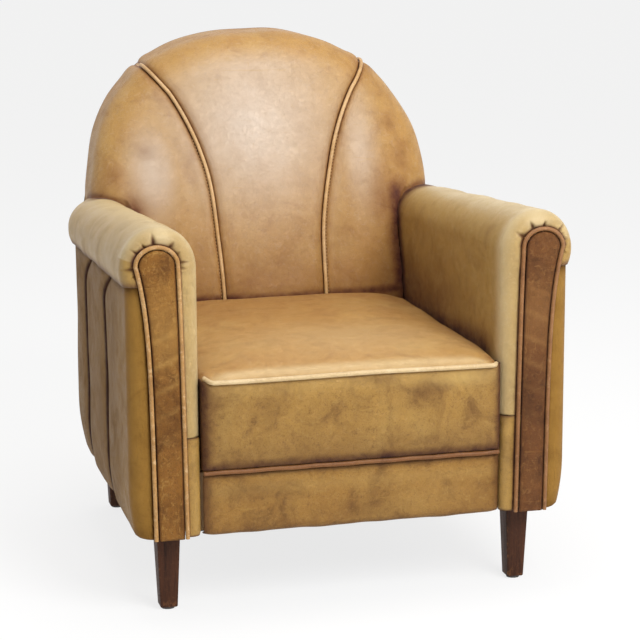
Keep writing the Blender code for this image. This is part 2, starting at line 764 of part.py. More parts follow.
def build_leg(name, x, depth):
    """A tapered leg on a glide, with the bolt that holds it in the frame."""
    low = GLIDE_THICK + CLEARANCE
    high = RAIL_BOTTOM_Z - CLEARANCE
    rings = []
    for z, width in ((low, LEG_FOOT), (high, LEG_TOP)):
        half = width / 2
        corners = ((-half, -half), (half, -half), (half, half), (-half, half))
        rings.append([(x + dx, depth + dy, z) for dx, dy in corners])
    leg = loft(name + "_leg", rings, "dark_wood")
    soften(leg, WOOD_EDGE)
    bolt_low = RAIL_BOTTOM_Z - BOLT_IN_LEG
    bolt_high = RAIL_BOTTOM_Z + BOLT_IN_FRAME
    bolt_hole(leg, x, depth, bolt_low - BOLT_END_GAP, bolt_high)
    bolt_name = name + "_leg_bolt"
    bolt = place(bolt_name, round_bar(bolt_name, BOLT_RADIUS, bolt_high - bolt_low), "steel")
    bolt.location = (x, depth, (bolt_low + bolt_high) / 2)
    glide_name = name + "_glide"
    glide = place(glide_name, round_bar(glide_name, GLIDE_RADIUS, GLIDE_THICK), "nylon")
    glide.location = (x, depth, GLIDE_THICK / 2)


# Suspension

def build_suspension():
    z = RAIL_TOP_Z + CLEARANCE + WIRE_RADIUS
    front = FRONT_RAIL_DEPTH + SPRING_REST
    rear = BACK_FACE_DEPTH + FRAME_DEPTH + POST_THICK - SPRING_REST
    pitch = (rear - front) / SPRING_BENDS
    for number in range(1, SPRINGS + 1):
        x = SPRING_PITCH * (number - (SPRINGS + 1) / 2)
        points = []
        for bend in range(SPRING_BENDS):
            reach = SPRING_HALF_WIDTH * (-1) ** bend
            points.append((x + reach, front + pitch * (bend + 0.2), z))
            points.append((x + reach, front + pitch * (bend + 0.8), z))
        tube("seat_spring_%d" % number, points, WIRE_RADIUS, "steel", resolution=0)
    jute_low = z + WIRE_RADIUS + CLEARANCE
    box(
        "spring_cover", (-JUTE_HALF_WIDTH, FRONT_RAIL_DEPTH, jute_low),
        (JUTE_HALF_WIDTH, BACK_FACE_DEPTH + FRAME_DEPTH + POST_THICK, jute_low + JUTE), "jute")
    straps = (
        ("low", LOW_STRAP_Z, LOW_STRAP_HALF), ("high", HIGH_STRAP_Z, HIGH_STRAP_HALF))
    for name, low, half in straps:
        rings = []
        for strap_z in (low, low + STRAP_WIDTH):
            far = back_base(strap_z) + FRAME_DEPTH - SOFT_GAP
            near = far - STRAP_THICK
            rings.append([
                (-half, near, strap_z), (half, near, strap_z),
                (half, far, strap_z), (-half, far, strap_z)])
        loft(name + "_back_strap", rings, "jute")
    cloth_high = RAIL_BOTTOM_Z - CLEARANCE
    box(
        "dust_cover", (-CLOTH_HALF_WIDTH, FRONT_RAIL_DEPTH, cloth_high - CLOTH),
        (CLOTH_HALF_WIDTH, BACK_FACE_DEPTH + FRAME_DEPTH + POST_THICK, cloth_high),
        "black_cloth")


# Upholstery

def build_seat():
    body_between(
        "seat_stuffing", seat_stuffing, seat_stuffing_bottom, SEAT_STEPS + 2, SEAT_ROWS,
        "stuffing")
    skin("seat_top_leather", seat_leather, SEAT_STEPS + 4, SEAT_ROWS, "tan_leather")
    top = SEAT_EDGE_Z - 2 * LEATHER
    half = SEAT_HALF - UNDER_LEATHER
    corners = (
        (-half, top - SEAT_ROUND), (SEAT_ROUND - SEAT_HALF, top),
        (SEAT_HALF - SEAT_ROUND, top), (half, top - SEAT_ROUND))

    def border(i, j):
        x, z = corners[i]
        return Vector((x, SEAT_FRONT_DEPTH, SEAT_BOTTOM_Z + (z - SEAT_BOTTOM_Z) * j))
    skin("seat_front_border", border, len(corners) - 1, 1, "tan_leather")
    reach = SEAT_HALF - SOFT_GAP
    piping_z = SEAT_EDGE_Z - PIPING_RADIUS
    piping_depth = SEAT_FRONT_DEPTH - PIPING_RADIUS - CLEARANCE
    tube(
        "seat_piping", [(reach * k, piping_depth, piping_z) for k in (-1, 0, 1)],
        PIPING_RADIUS, "pale_piping")
    tube(
        "lower_piping", [(reach * k, LOW_PIPING_DEPTH, LOW_PIPING_Z) for k in (-1, 0, 1)],
        PIPING_RADIUS, "brown_piping")
    box(
        "front_apron", (-SEAT_HALF, APRON_DEPTH, APRON_BOTTOM_Z),
        (SEAT_HALF, FRONT_RAIL_DEPTH - CLEARANCE, LOW_PIPING_Z - PIPING_RADIUS - SOFT_GAP),
        "tan_leather", APRON_EDGE)


def build_arm(name, side):
    body_between(
        name + "_arm_stuffing", arm_stuffing(side, UNDER_LEATHER), arm_stuffing(side, ARM_STUFFING),
        ARM_STEPS, ARM_ROWS - 1, "stuffing")
    skin(
        name + "_inside_arm_leather", arm_leather(side), ARM_STEPS, ARM_ROWS, "tan_leather",
        mirrored=side < 0)
    body_between(
        name + "_outside_arm_panel", lambda i, j: panel_outer(side, i, j),
        lambda i, j: panel_inner(side, i, j), PANEL_STEPS, PANEL_ROWS, "tan_leather")
    build_strip(name, side)
    face = ARM_FACE_DEPTH - SOFT_GAP - FACING_THICK
    plate(
        name + "_facing", [(side * x, z) for x, z in facing_outline(0.0)],
        face, FACING_THICK, "dark_leather")
    route = facing_outline(PIPING_RADIUS + CLEARANCE)
    piping_depth = ARM_FACE_DEPTH - SOFT_GAP - PIPING_RADIUS
    tube(
        name + "_facing_piping", [(side * x, piping_depth, z) for x, z in route],
        PIPING_RADIUS, "brown_piping")


def build_strip(name, side):
    """Leather strip on the inner front edge of an arm, with a round front edge."""
    inner = ARM_INNER_X + CLEARANCE
    outer = ARM_INNER_X + ARM_STUFFING
    near = ARM_FACE_DEPTH
    far = FRONT_RAIL_DEPTH - CLEARANCE
    plan = [(outer, near), (outer, far), (inner, far)]
    for k in range(ROUND_STEPS + 1):
        turn = math.pi / 2 * k / ROUND_STEPS
        plan.append((
            inner + STRIP_ROUND * (1 - math.cos(turn)), near + STRIP_ROUND * (1 - math.sin(turn))))
    rings = [
        [(side * x, depth, z) for x, depth in plan]
        for z in (STRIP_BOTTOM_Z, ARM_JOIN_Z - SOFT_GAP)]
    loft(name + "_lower_arm_strip", rings, "tan_leather")


def build_back():
    columns = 2 * (CENTRE_STEPS + WING_STEPS)
    body_between(
        "back_stuffing", back_stuffing, back_stuffing_rear, columns, BACK_ROWS + RIM_STEPS,
        "stuffing")
    rows = BACK_ROWS + RIM_STEPS + 1
    skin(
        "back_leather_centre", back_leather(-CENTRE_STEPS, -SEAM_OPENING), 2 * CENTRE_STEPS, rows,
        "tan_leather")
    skin(
        "back_leather_left", back_leather(-CENTRE_STEPS - WING_STEPS, SEAM_OPENING), WING_STEPS,
        rows, "tan_leather")
    skin(
        "back_leather_right", back_leather(CENTRE_STEPS, SEAM_OPENING), WING_STEPS, rows,
        "tan_leather")
    lift = PIPING_RADIUS + 2 * SOFT_GAP
    stops = [BACK_PIPING_START, *range(math.ceil(BACK_PIPING_START), BACK_ROWS + RIM_STEPS + 1)]
    for name, side in SIDES.items():
        points = [back_point(side * SEAM_SHARE, row, -lift) for row in stops]
        tube(name + "_back_piping", points, PIPING_RADIUS, "brown_piping")
    skin(
        "outside_back", outside_back, BACK_PANEL_STEPS, BACK_PANEL_ROWS, "tan_leather",
        thickness=BACK_PANEL_THICK)


def centre_on_floor():
    """Move the chair along Y until its box is centred on the frame's origin."""
    bpy.context.view_layer.update()
    graph = bpy.context.evaluated_depsgraph_get()
    depths = []
    for piece in CHAIR.objects:
        if piece.type != "EMPTY":
            made = piece.evaluated_get(graph)
            depths += [(made.matrix_world @ corner.co).y for corner in made.to_mesh().vertices]
    GROUND.location.y = -(min(depths) + max(depths)) / 2


build_rails()
build_back_frame()
build_suspension()
build_seat()
for arm_name, arm_side in SIDES.items():
    build_arm_frame(arm_name, arm_side)
    build_arm(arm_name, arm_side)
    build_leg(arm_name + "_front", arm_side * FRONT_LEG[0], FRONT_LEG[1])
    build_leg(arm_name + "_rear", arm_side * REAR_LEG[0], REAR_LEG[1])
build_back()
centre_on_floor()
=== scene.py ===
import math

import bpy
import numpy as np
from mathutils import Matrix, Vector


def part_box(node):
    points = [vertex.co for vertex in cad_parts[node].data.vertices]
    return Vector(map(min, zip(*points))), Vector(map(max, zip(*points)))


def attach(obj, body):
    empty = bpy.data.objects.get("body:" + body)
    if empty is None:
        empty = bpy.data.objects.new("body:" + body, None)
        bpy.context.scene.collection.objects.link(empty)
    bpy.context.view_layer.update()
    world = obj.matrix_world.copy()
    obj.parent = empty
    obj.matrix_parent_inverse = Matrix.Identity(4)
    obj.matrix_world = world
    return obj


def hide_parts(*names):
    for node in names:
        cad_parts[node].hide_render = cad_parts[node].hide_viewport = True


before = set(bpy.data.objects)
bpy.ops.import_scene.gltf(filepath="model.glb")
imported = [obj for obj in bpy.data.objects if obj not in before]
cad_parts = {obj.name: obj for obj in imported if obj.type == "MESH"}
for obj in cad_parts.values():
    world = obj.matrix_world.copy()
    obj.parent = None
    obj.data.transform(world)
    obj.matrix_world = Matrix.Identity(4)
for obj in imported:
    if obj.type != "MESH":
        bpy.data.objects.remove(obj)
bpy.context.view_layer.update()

# Studio: the camera stands where the photograph was taken from, before a plain pale floor, with
# soft lamps and a lit room. Colours are written as a screen shows them and turned to light here.
CAMERA_TURN = math.radians(-14.4)
CAMERA_RISE = math.radians(11.6)
CAMERA_ROLL = math.radians(-0.33)
CAMERA_DISTANCE = 3.62
CAMERA_AIM = Vector((0.0, -0.11428, 0.42))
LENS = 119.9
PICTURE_WIDTH = 640
AXIS_OFF_CENTRE = (-12.0, -6.7)   # the picture was cut a little off the lens's axis, in pixels
ROOM_LIGHT = 0.50
LAMPS = (
    ("key_lamp", (0.9, -2.6, 2.3), 1.5, 78.0),
    ("fill_lamp", (2.4, -1.6, 1.2), 1.6, 14.0),
    ("top_lamp", (-0.1, 0.1, 2.9), 1.4, 30.0),
)


def tone(red, green, blue):
    """A colour as a screen shows it, from 0 to 255, as linear light."""
    return tuple(((c / 255 + 0.055) / 1.055) ** 2.4 for c in (red, green, blue)) + (1.0,)


def node(tree, kind, inputs=None, **settings):
    """A shader node with its settings and inputs. An input is a value or another node's output."""
    made = tree.nodes.new("ShaderNode" + kind)
    for key, value in settings.items():
        setattr(made, key, value)
    for key, value in (inputs or {}).items():
        if isinstance(value, bpy.types.NodeSocket):
            tree.links.new(value, made.inputs[key])
        else:
            made.inputs[key].default_value = value
    return made


def maths(tree, operation, first, second=0.0, limit=False):
    return node(tree, "Math", {0: first, 1: second}, operation=operation, use_clamp=limit).outputs[0]


def times(tree, first, second, limit=False):
    return maths(tree, "MULTIPLY", first, second, limit)


def spread(tree, value, low, high, to_low=0.0, to_high=1.0):
    """A value that goes smoothly from to_low to to_high while the input goes from low to high."""
    inputs = {"Value": value, "From Min": low, "From Max": high, "To Min": to_low, "To Max": to_high}
    return node(tree, "MapRange", inputs, interpolation_type="SMOOTHSTEP").outputs[0]


def seen_directly(tree):
    """One for what the camera, gloss and glass see, and nothing for the light that falls on things."""
    path = node(tree, "LightPath")
    direct = maths(tree, "MAXIMUM", path.outputs["Is Camera Ray"], path.outputs["Is Glossy Ray"])
    return maths(tree, "MAXIMUM", direct, path.outputs["Is Transmission Ray"])


def build_studio():
    scene = bpy.context.scene
    scene.view_settings.view_transform = "Standard"
    back = Vector((
        math.sin(CAMERA_TURN) * math.cos(CAMERA_RISE),
        -math.cos(CAMERA_TURN) * math.cos(CAMERA_RISE), math.sin(CAMERA_RISE)))
    turn = (
        Matrix.Rotation(CAMERA_TURN, 4, "Z") @ Matrix.Rotation(math.pi / 2 - CAMERA_RISE, 4, "X")
        @ Matrix.Rotation(CAMERA_ROLL, 4, "Z"))
    bpy.ops.object.camera_add()
    camera = bpy.context.object
    camera.matrix_world = Matrix.Translation(CAMERA_AIM + CAMERA_DISTANCE * back) @ turn
    camera.data.lens = LENS
    camera.data.shift_x = -AXIS_OFF_CENTRE[0] / PICTURE_WIDTH
    camera.data.shift_y = AXIS_OFF_CENTRE[1] / PICTURE_WIDTH
    scene.camera = camera
    for name, place, size, power in LAMPS:
        aim = (CAMERA_AIM - Vector(place)).to_track_quat("-Z", "Y").to_euler()
        bpy.ops.object.light_add(type="AREA", location=place, rotation=aim)
        lamp = bpy.context.object
        lamp.name = name
        lamp.data.size = size
        lamp.data.energy = power
    room = bpy.data.worlds.new("lit_room")
    room.use_nodes = True
    room.node_tree.nodes.clear()
    strength = spread(room.node_tree, seen_directly(room.node_tree), 0.0, 1.0, ROOM_LIGHT, 1.0)
    light = node(room.node_tree, "Background", {"Color": (1, 1, 1, 1), "Strength": strength})
    node(room.node_tree, "OutputWorld", {"Surface": light.outputs[0]})
    scene.world = room
    bpy.ops.mesh.primitive_plane_add(size=40.0)
    floor = bpy.context.object
    floor.name = "pale_floor"
    paint = bpy.data.materials.new("pale_floor")
    paint.use_nodes = True
    tree = paint.node_tree
    tree.nodes.clear()
    matt = node(tree, "BsdfDiffuse", {"Color": tone(246, 246, 245)})
    glow = node(tree, "Emission", {"Color": (1, 1, 1, 1), "Strength": 1.0})
    share = times(tree, seen_directly(tree), 0.78)
    mixed = node(tree, "MixShader", {0: share, 1: matt.outputs[0], 2: glow.outputs[0]})
    node(tree, "OutputMaterial", {"Surface": mixed.outputs[0]})
    floor.data.materials.append(paint)


build_studio()

# Bare beech frame: rails, stumps, posts, arch and glue blocks of planed beech, glued and dowelled,
# with glue-coloured end grain. All of it is hidden under the upholstery except from below.


def blend(tree, factor, first, second, way="MIX"):
    inputs = {0: factor, 6: first, 7: second}
    return node(tree, "Mix", inputs, data_type="RGBA", blend_type=way).outputs[2]


def noise(tree, place, scale, detail=4.0, rough=0.55, twist=0.0):
    inputs = {
        "Vector": place, "Scale": scale, "Detail": detail, "Roughness": rough, "Distortion": twist}
    return node(tree, "TexNoise", inputs).outputs["Fac"]


def plus(tree, first, second, limit=False):
    return maths(tree, "ADD", first, second, limit)


def new_material(name):
    made = bpy.data.materials.new(name)
    made.use_nodes = True
    made.node_tree.nodes.clear()
    place = node(made.node_tree, "TexCoord").outputs["Object"]
    return made, made.node_tree, place


def finish_material(tree, inputs, height, depth):
    """The shader with its relief, in metres, on the material's output."""
    relief = node(tree, "Bump", {"Height": height, "Distance": depth})
    shader = node(tree, "BsdfPrincipled", {**inputs, "Normal": relief.outputs[0]})
    node(tree, "OutputMaterial", {"Surface": shader.outputs[0]})


def group_tree(name, numbers, colours):
    """An empty node group with named number inputs and colour inputs, and its inner ends."""
    tree = bpy.data.node_groups.new(name, "ShaderNodeTree")
    sockets = [("Place", "INPUT", "Vector")]
    sockets += [(label, "INPUT", "Float") for label in numbers]
    sockets += [(label, "INPUT", "Color") for label in colours]
    sockets += [("Colour", "OUTPUT", "Color")]
    sockets += [(label, "OUTPUT", "Float") for label in ("Roughness", "Height")]
    for label, way, kind in sockets:
        tree.interface.new_socket(label, in_out=way, socket_type="NodeSocket" + kind)
    return tree, tree.nodes.new("NodeGroupInput").outputs, tree.nodes.new("NodeGroupOutput").inputs


def build_wood_grain():
    """Straight grain along Z with pores and slow colour drift."""
    tree, given, made = group_tree("wood_grain", ("Fineness",), ("Wood", "Grain"))
    stretch = node(tree, "Mapping", {"Vector": given["Place"], "Scale": (1.0, 1.0, 0.06)})
    place = stretch.outputs[0]
    streaks = noise(tree, place, times(tree, given["Fineness"], 130.0), 6.0, 0.7, 0.6)
    rings = noise(tree, place, times(tree, given["Fineness"], 28.0), 3.0, 0.5, 1.2)
    pores = noise(tree, place, times(tree, given["Fineness"], 520.0), 2.0, 0.6)
    dark = plus(
        tree, spread(tree, streaks, 0.45, 0.7, 0.0, 0.6), spread(tree, rings, 0.4, 0.65, 0.0, 0.4),
        limit=True)
    tree.links.new(blend(tree, dark, given["Wood"], given["Grain"]), made["Colour"])
    tree.links.new(spread(tree, streaks, 0.3, 0.7, 0.42, 0.62), made["Roughness"])
    height = plus(tree, times(tree, streaks, 0.6), spread(tree, pores, 0.35, 0.5, 0.0, 0.4))
    tree.links.new(height, made["Height"])
    return tree


WOOD_GRAIN = build_wood_grain()


def wood(name, body, grain, fineness):
    made, tree, place = new_material(name)
    look = node(tree, "Group", {
        "Place": place, "Fineness": fineness, "Wood": body, "Grain": grain}, node_tree=WOOD_GRAIN).outputs
    finish_material(tree, {
        "Base Color": look["Colour"], "Roughness": look["Roughness"]}, look["Height"], 0.0004)
    return made


def dress(names, finish):
    """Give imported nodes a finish."""
    for name in names:
        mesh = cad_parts[name].data
        mesh.materials.clear()
        mesh.materials.append(finish)


BEECH = wood("planed_beech", tone(198, 160, 116), tone(158, 116, 74), 0.6)
PAIRED_WOOD = ("side_rail", "corner_block", "arm_stump", "arm_rail", "back_post")
dress(["front_rail", "rear_rail", "back_arch_rail", "back_cross_rail"], BEECH)
dress([side + "_" + part for side in ("left", "right") for part in PAIRED_WOOD], BEECH)

# Suspension: four zigzag springs of drawn wire clipped from rail to rail, a jute cover on them,
# and two webbing straps across the back. They are tacked to the frame and never seen.


def drawn_steel():
    made, tree, place = new_material("drawn_steel")
    drift = noise(tree, place, 40.0, 4.0)
    lines = noise(tree, place, 900.0, 2.0)
    colour = blend(tree, drift, tone(150, 150, 152), tone(104, 98, 92))
    finish_material(tree, {
        "Base Color": colour, "Roughness": spread(tree, drift, 0.3, 0.7, 0.25, 0.5),
        "Metallic": 1.0}, lines, 0.00005)
    return made


def build_plain_weave():
    """Threads that cross over and under each other, with dark gaps between them."""
    tree, given, made = group_tree("plain_weave", ("Threads",), ("Thread", "Gap"))
    place, threads = given["Place"], given["Threads"]
    waves = {"Vector": place, "Scale": threads, "Distortion": 1.2, "Detail": 1.0}
    across = node(tree, "TexWave", waves, bands_direction="X").outputs["Fac"]
    along = node(tree, "TexWave", waves, bands_direction="Y").outputs["Fac"]
    weave = maths(tree, "MAXIMUM", across, along)
    fuzz = noise(tree, place, times(tree, threads, 2.0), 3.0)
    colour = blend(tree, times(tree, weave, fuzz), given["Gap"], given["Thread"])
    tree.links.new(colour, made["Colour"])
    made["Roughness"].default_value = 0.95
    tree.links.new(weave, made["Height"])
    return tree


PLAIN_WEAVE = build_plain_weave()


def woven(name, thread, gap, threads):
    """Cloth with a number of threads to the metre."""
    made, tree, place = new_material(name)
    look = node(tree, "Group", {
        "Place": place, "Threads": threads, "Thread": thread, "Gap": gap}, node_tree=PLAIN_WEAVE).outputs
    finish_material(tree, {
        "Base Color": look["Colour"], "Roughness": look["Roughness"]}, look["Height"], 0.0005)
    return made


STEEL = drawn_steel()
JUTE = woven("jute_webbing", tone(176, 146, 100), tone(96, 72, 42), 90.0)
dress(["seat_spring_%d" % number for number in range(1, 5)], STEEL)
dress(["spring_cover", "low_back_strap", "high_back_strap"], JUTE)

# Dust cover: thin black cloth with a little slack, stapled under the front and rear rails. Its
# sides hang free between the two, and leave a strip open beside each side rail.
DUST_SAG = 0.004
DUST_EDGE = 0.0012
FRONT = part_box("left_facing")[0].y - 0.0027   # world Y of the front that depths are measured from
LEATHER = 0.0020


def surface(name, columns, rows, shape, side=1, thickness=LEATHER):
    """A grid whose corners go where shape(u, v) says, u and v from 0 to 1, with a wall behind it.

    The shape gives x, depth and z, then how far each point swells along its normal, then how much dirt
    with painted shade, and how much wear with painted highlight, the leather has there.
    """
    bpy.ops.object.select_all(action="DESELECT")
    bpy.ops.mesh.primitive_grid_add(x_subdivisions=columns, y_subdivisions=rows, size=1.0)
    piece = bpy.context.object
    piece.name = piece.data.name = name
    mesh = piece.data
    corners = np.empty(len(mesh.vertices) * 3)
    mesh.vertices.foreach_get("co", corners)
    u, v = corners[0::3] + 0.5, corners[1::3] + 0.5
    x, depth, z, swell, shade_and_grime, rub_and_highlight = [np.broadcast_to(part, u.shape) for part in shape(u, v)]
    corners = np.stack((side * x, FRONT + depth, z), axis=-1)
    mesh.vertices.foreach_set("co", corners.ravel())
    if side < 0:
        mesh.flip_normals()
    mesh.update()
    normals = np.empty(len(corners) * 3)
    mesh.vertex_normals.foreach_get("vector", normals)
    corners = corners + normals.reshape(-1, 3) * swell[:, None]
    mesh.vertices.foreach_set("co", corners.ravel())
    # The first attribute is dirt together with painted shade, the second wear together with painted
    # highlight.
    for label, values in (("shade_and_grime", shade_and_grime), ("rub_and_highlight", rub_and_highlight)):
        layer = mesh.attributes.new(label, "FLOAT", "POINT")
        layer.data.foreach_set("value", np.clip(values, 0.0, 1.0).astype(np.float32))
    mesh.shade_smooth()
    wall = piece.modifiers.new("wall", "SOLIDIFY")
    wall.thickness = thickness
    wall.offset = -1.0
    bpy.ops.object.modifier_apply(modifier=wall.name)
    return piece


def finish_piece(piece, finish, replaced):
    """What every new piece gets: its finish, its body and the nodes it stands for."""
    piece.data.materials.clear()
    piece.data.materials.append(finish)
    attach(piece, "root")
    if replaced:
        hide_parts(*replaced)


dust_low, dust_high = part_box("dust_cover")
dust_wide, dust_long, _ = dust_high - dust_low


def dust_cover_shape(u, v):
    sag = DUST_SAG * np.sin(np.pi * u) * np.sin(np.pi * v)
    z = dust_high.z - DUST_EDGE / 2 - sag
    return dust_low.x + dust_wide * u, dust_low.y - FRONT + dust_long * (1 - v), z, 0, 0, 0


dust_cover = surface("dust_cover_cloth", 24, 30, dust_cover_shape, thickness=DUST_EDGE / 2)
BLACK_CLOTH = woven("black_cloth", tone(40, 39, 40), tone(14, 14, 15), 420.0)
finish_piece(dust_cover, BLACK_CLOTH, ["dust_cover"])

# Legs: square tapered blocks of dark stained hardwood with softened edges, worn pale where feet and
# brooms hit them. A bolt holds each in the frame and a nylon glide is nailed under it.
LEG_EDGE = 0.0028
LEG_FOOT_WEAR = 0.030


def stained_wood():
    made, tree, place = new_material("stained_leg_wood")
    look = node(tree, "Group", {
        "Place": place, "Fineness": 1.3, "Wood": tone(70, 38, 20), "Grain": tone(32, 16, 9)},
        node_tree=WOOD_GRAIN).outputs
    edge = node(tree, "Attribute", attribute_name="edge").outputs["Fac"]
    chips = spread(tree, noise(tree, place, 160.0, 5.0, 0.7), 0.52, 0.62)
    height = node(tree, "SeparateXYZ", {0: place}).outputs["Z"]
    low = spread(tree, height, 0.0, LEG_FOOT_WEAR, 0.75, 0.12)
    wear = times(tree, chips, maths(tree, "MAXIMUM", low, edge), limit=True)
    colour = blend(tree, times(tree, wear, 0.5), look["Colour"], tone(136, 92, 58))
    finish_material(tree, {
        "Base Color": colour,
        "Roughness": plus(tree, look["Roughness"], times(tree, wear, 0.25)),
        "Specular IOR Level": 0.2}, look["Height"], 0.0006)
    return made


def nylon_finish():
    made, tree, place = new_material("scuffed_nylon")
    scuff = noise(tree, place, 300.0, 5.0)
    colour = blend(tree, scuff, tone(48, 47, 46), tone(88, 84, 80))
    finish_material(tree, {
        "Base Color": colour, "Roughness": spread(tree, scuff, 0.3, 0.7, 0.4, 0.7)}, scuff, 0.0002)
    return made


def build_leg(name, finish):
    low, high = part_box(name)
    bpy.ops.object.select_all(action="DESELECT")
    middle = (low + high) / 2
    bpy.ops.mesh.primitive_cube_add(size=1.0, location=middle, scale=high - low)
    leg = bpy.context.object
    leg.name = leg.data.name = name + "_block"
    bpy.ops.object.transform_apply(location=True, rotation=True, scale=True)
    foot = max(v.co.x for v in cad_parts[name].data.vertices if v.co.z < low.z + 0.001)
    taper = (foot - middle.x) / ((high.x - low.x) / 2)
    for corner in leg.data.vertices:
        if corner.co.z < middle.z:
            corner.co.x = middle.x + (corner.co.x - middle.x) * taper
            corner.co.y = middle.y + (corner.co.y - middle.y) * taper
    bpy.ops.object.mode_set(mode="EDIT")
    bpy.ops.mesh.select_all(action="SELECT")
    bpy.ops.mesh.bevel(offset=LEG_EDGE, segments=4)
    bpy.ops.object.mode_set(mode="OBJECT")
    half = (high.x - low.x) / 2
    layer = leg.data.attributes.new("edge", "FLOAT", "POINT")
    for corner, mark in zip(leg.data.vertices, layer.data):
        share = (corner.co.z - low.z) / (high.z - low.z)
        width = half * (taper + (1 - taper) * share)
        reach = sorted((abs(corner.co.x - middle.x), abs(corner.co.y - middle.y)))
        mark.value = 0.8 if reach[0] > width - LEG_EDGE * 0.9 else 0.0
    bpy.ops.object.shade_smooth_by_angle(angle=math.radians(35))
    finish_piece(leg, finish, [name])


LEG_WOOD = stained_wood()
NYLON = nylon_finish()
for side in ("left", "right"):
    for end in ("front", "rear"):
        build_leg(side + "_" + end + "_leg", LEG_WOOD)
        dress([side + "_" + end + "_leg_bolt"], STEEL)
        dress([side + "_" + end + "_glide"], NYLON)

# Seat: one leather over springs and stuffing, tight over a crown, with rounded sides that go down
# beside the arms. A border closes its front, and a pale piping is sewn between the two.
SEAT_HALF = 0.244
SEAT_FRONT = 0.008
SEAT_EDGE_Z = 0.386
SEAT_CROWN = 0.026
SEAT_RISE = 0.140
SEAT_ROUND = 0.012
SEAT_FLAP = 0.050
TOP_END = 0.80      # shares of the half width where the top ends and where the flap starts
FLAP_START = 0.90
SEAT_BOTTOM_Z = 0.2393
BACK_FACE = 0.520
BACK_CURVE = 0.480
PIPING_RADIUS = 0.0040
BORDER_HALF = 0.2450
BORDER_ROUND = 0.007


def ramp(value, low, high):
    """From 0 at low to 1 at high, in a straight line."""
    return np.clip((value - low) / (high - low), 0.0, 1.0)


def smooth(value, low, high):
    """From 0 at low to 1 at high, level at both ends."""
    part = ramp(value, low, high)
    return part * part * (3 - 2 * part)


def strongest(*masks):
    return np.maximum.reduce(masks)


def near(distance, width):
    """One on a line, and nothing a few widths away from it."""
    return np.exp(-(distance / width) ** 2)


def spot(x, z, at_x, at_z, wide, high):
    return np.exp(-((x - at_x) / wide) ** 2 - ((z - at_z) / high) ** 2)


def slack(a, b, seed):
    """Slow unevenness of hand-stuffed leather, from -1 to 1, with waves 60 to 200 mm long."""
    rows = ((31.0, 17.0, 0.4), (-19.0, 43.0, 0.3), (61.0, -29.0, 0.2), (11.0, 83.0, 0.1))
    return sum(
        part * np.sin(wave_a * a + wave_b * b + seed * (1.7 + number))
        for number, (wave_a, wave_b, part) in enumerate(rows))


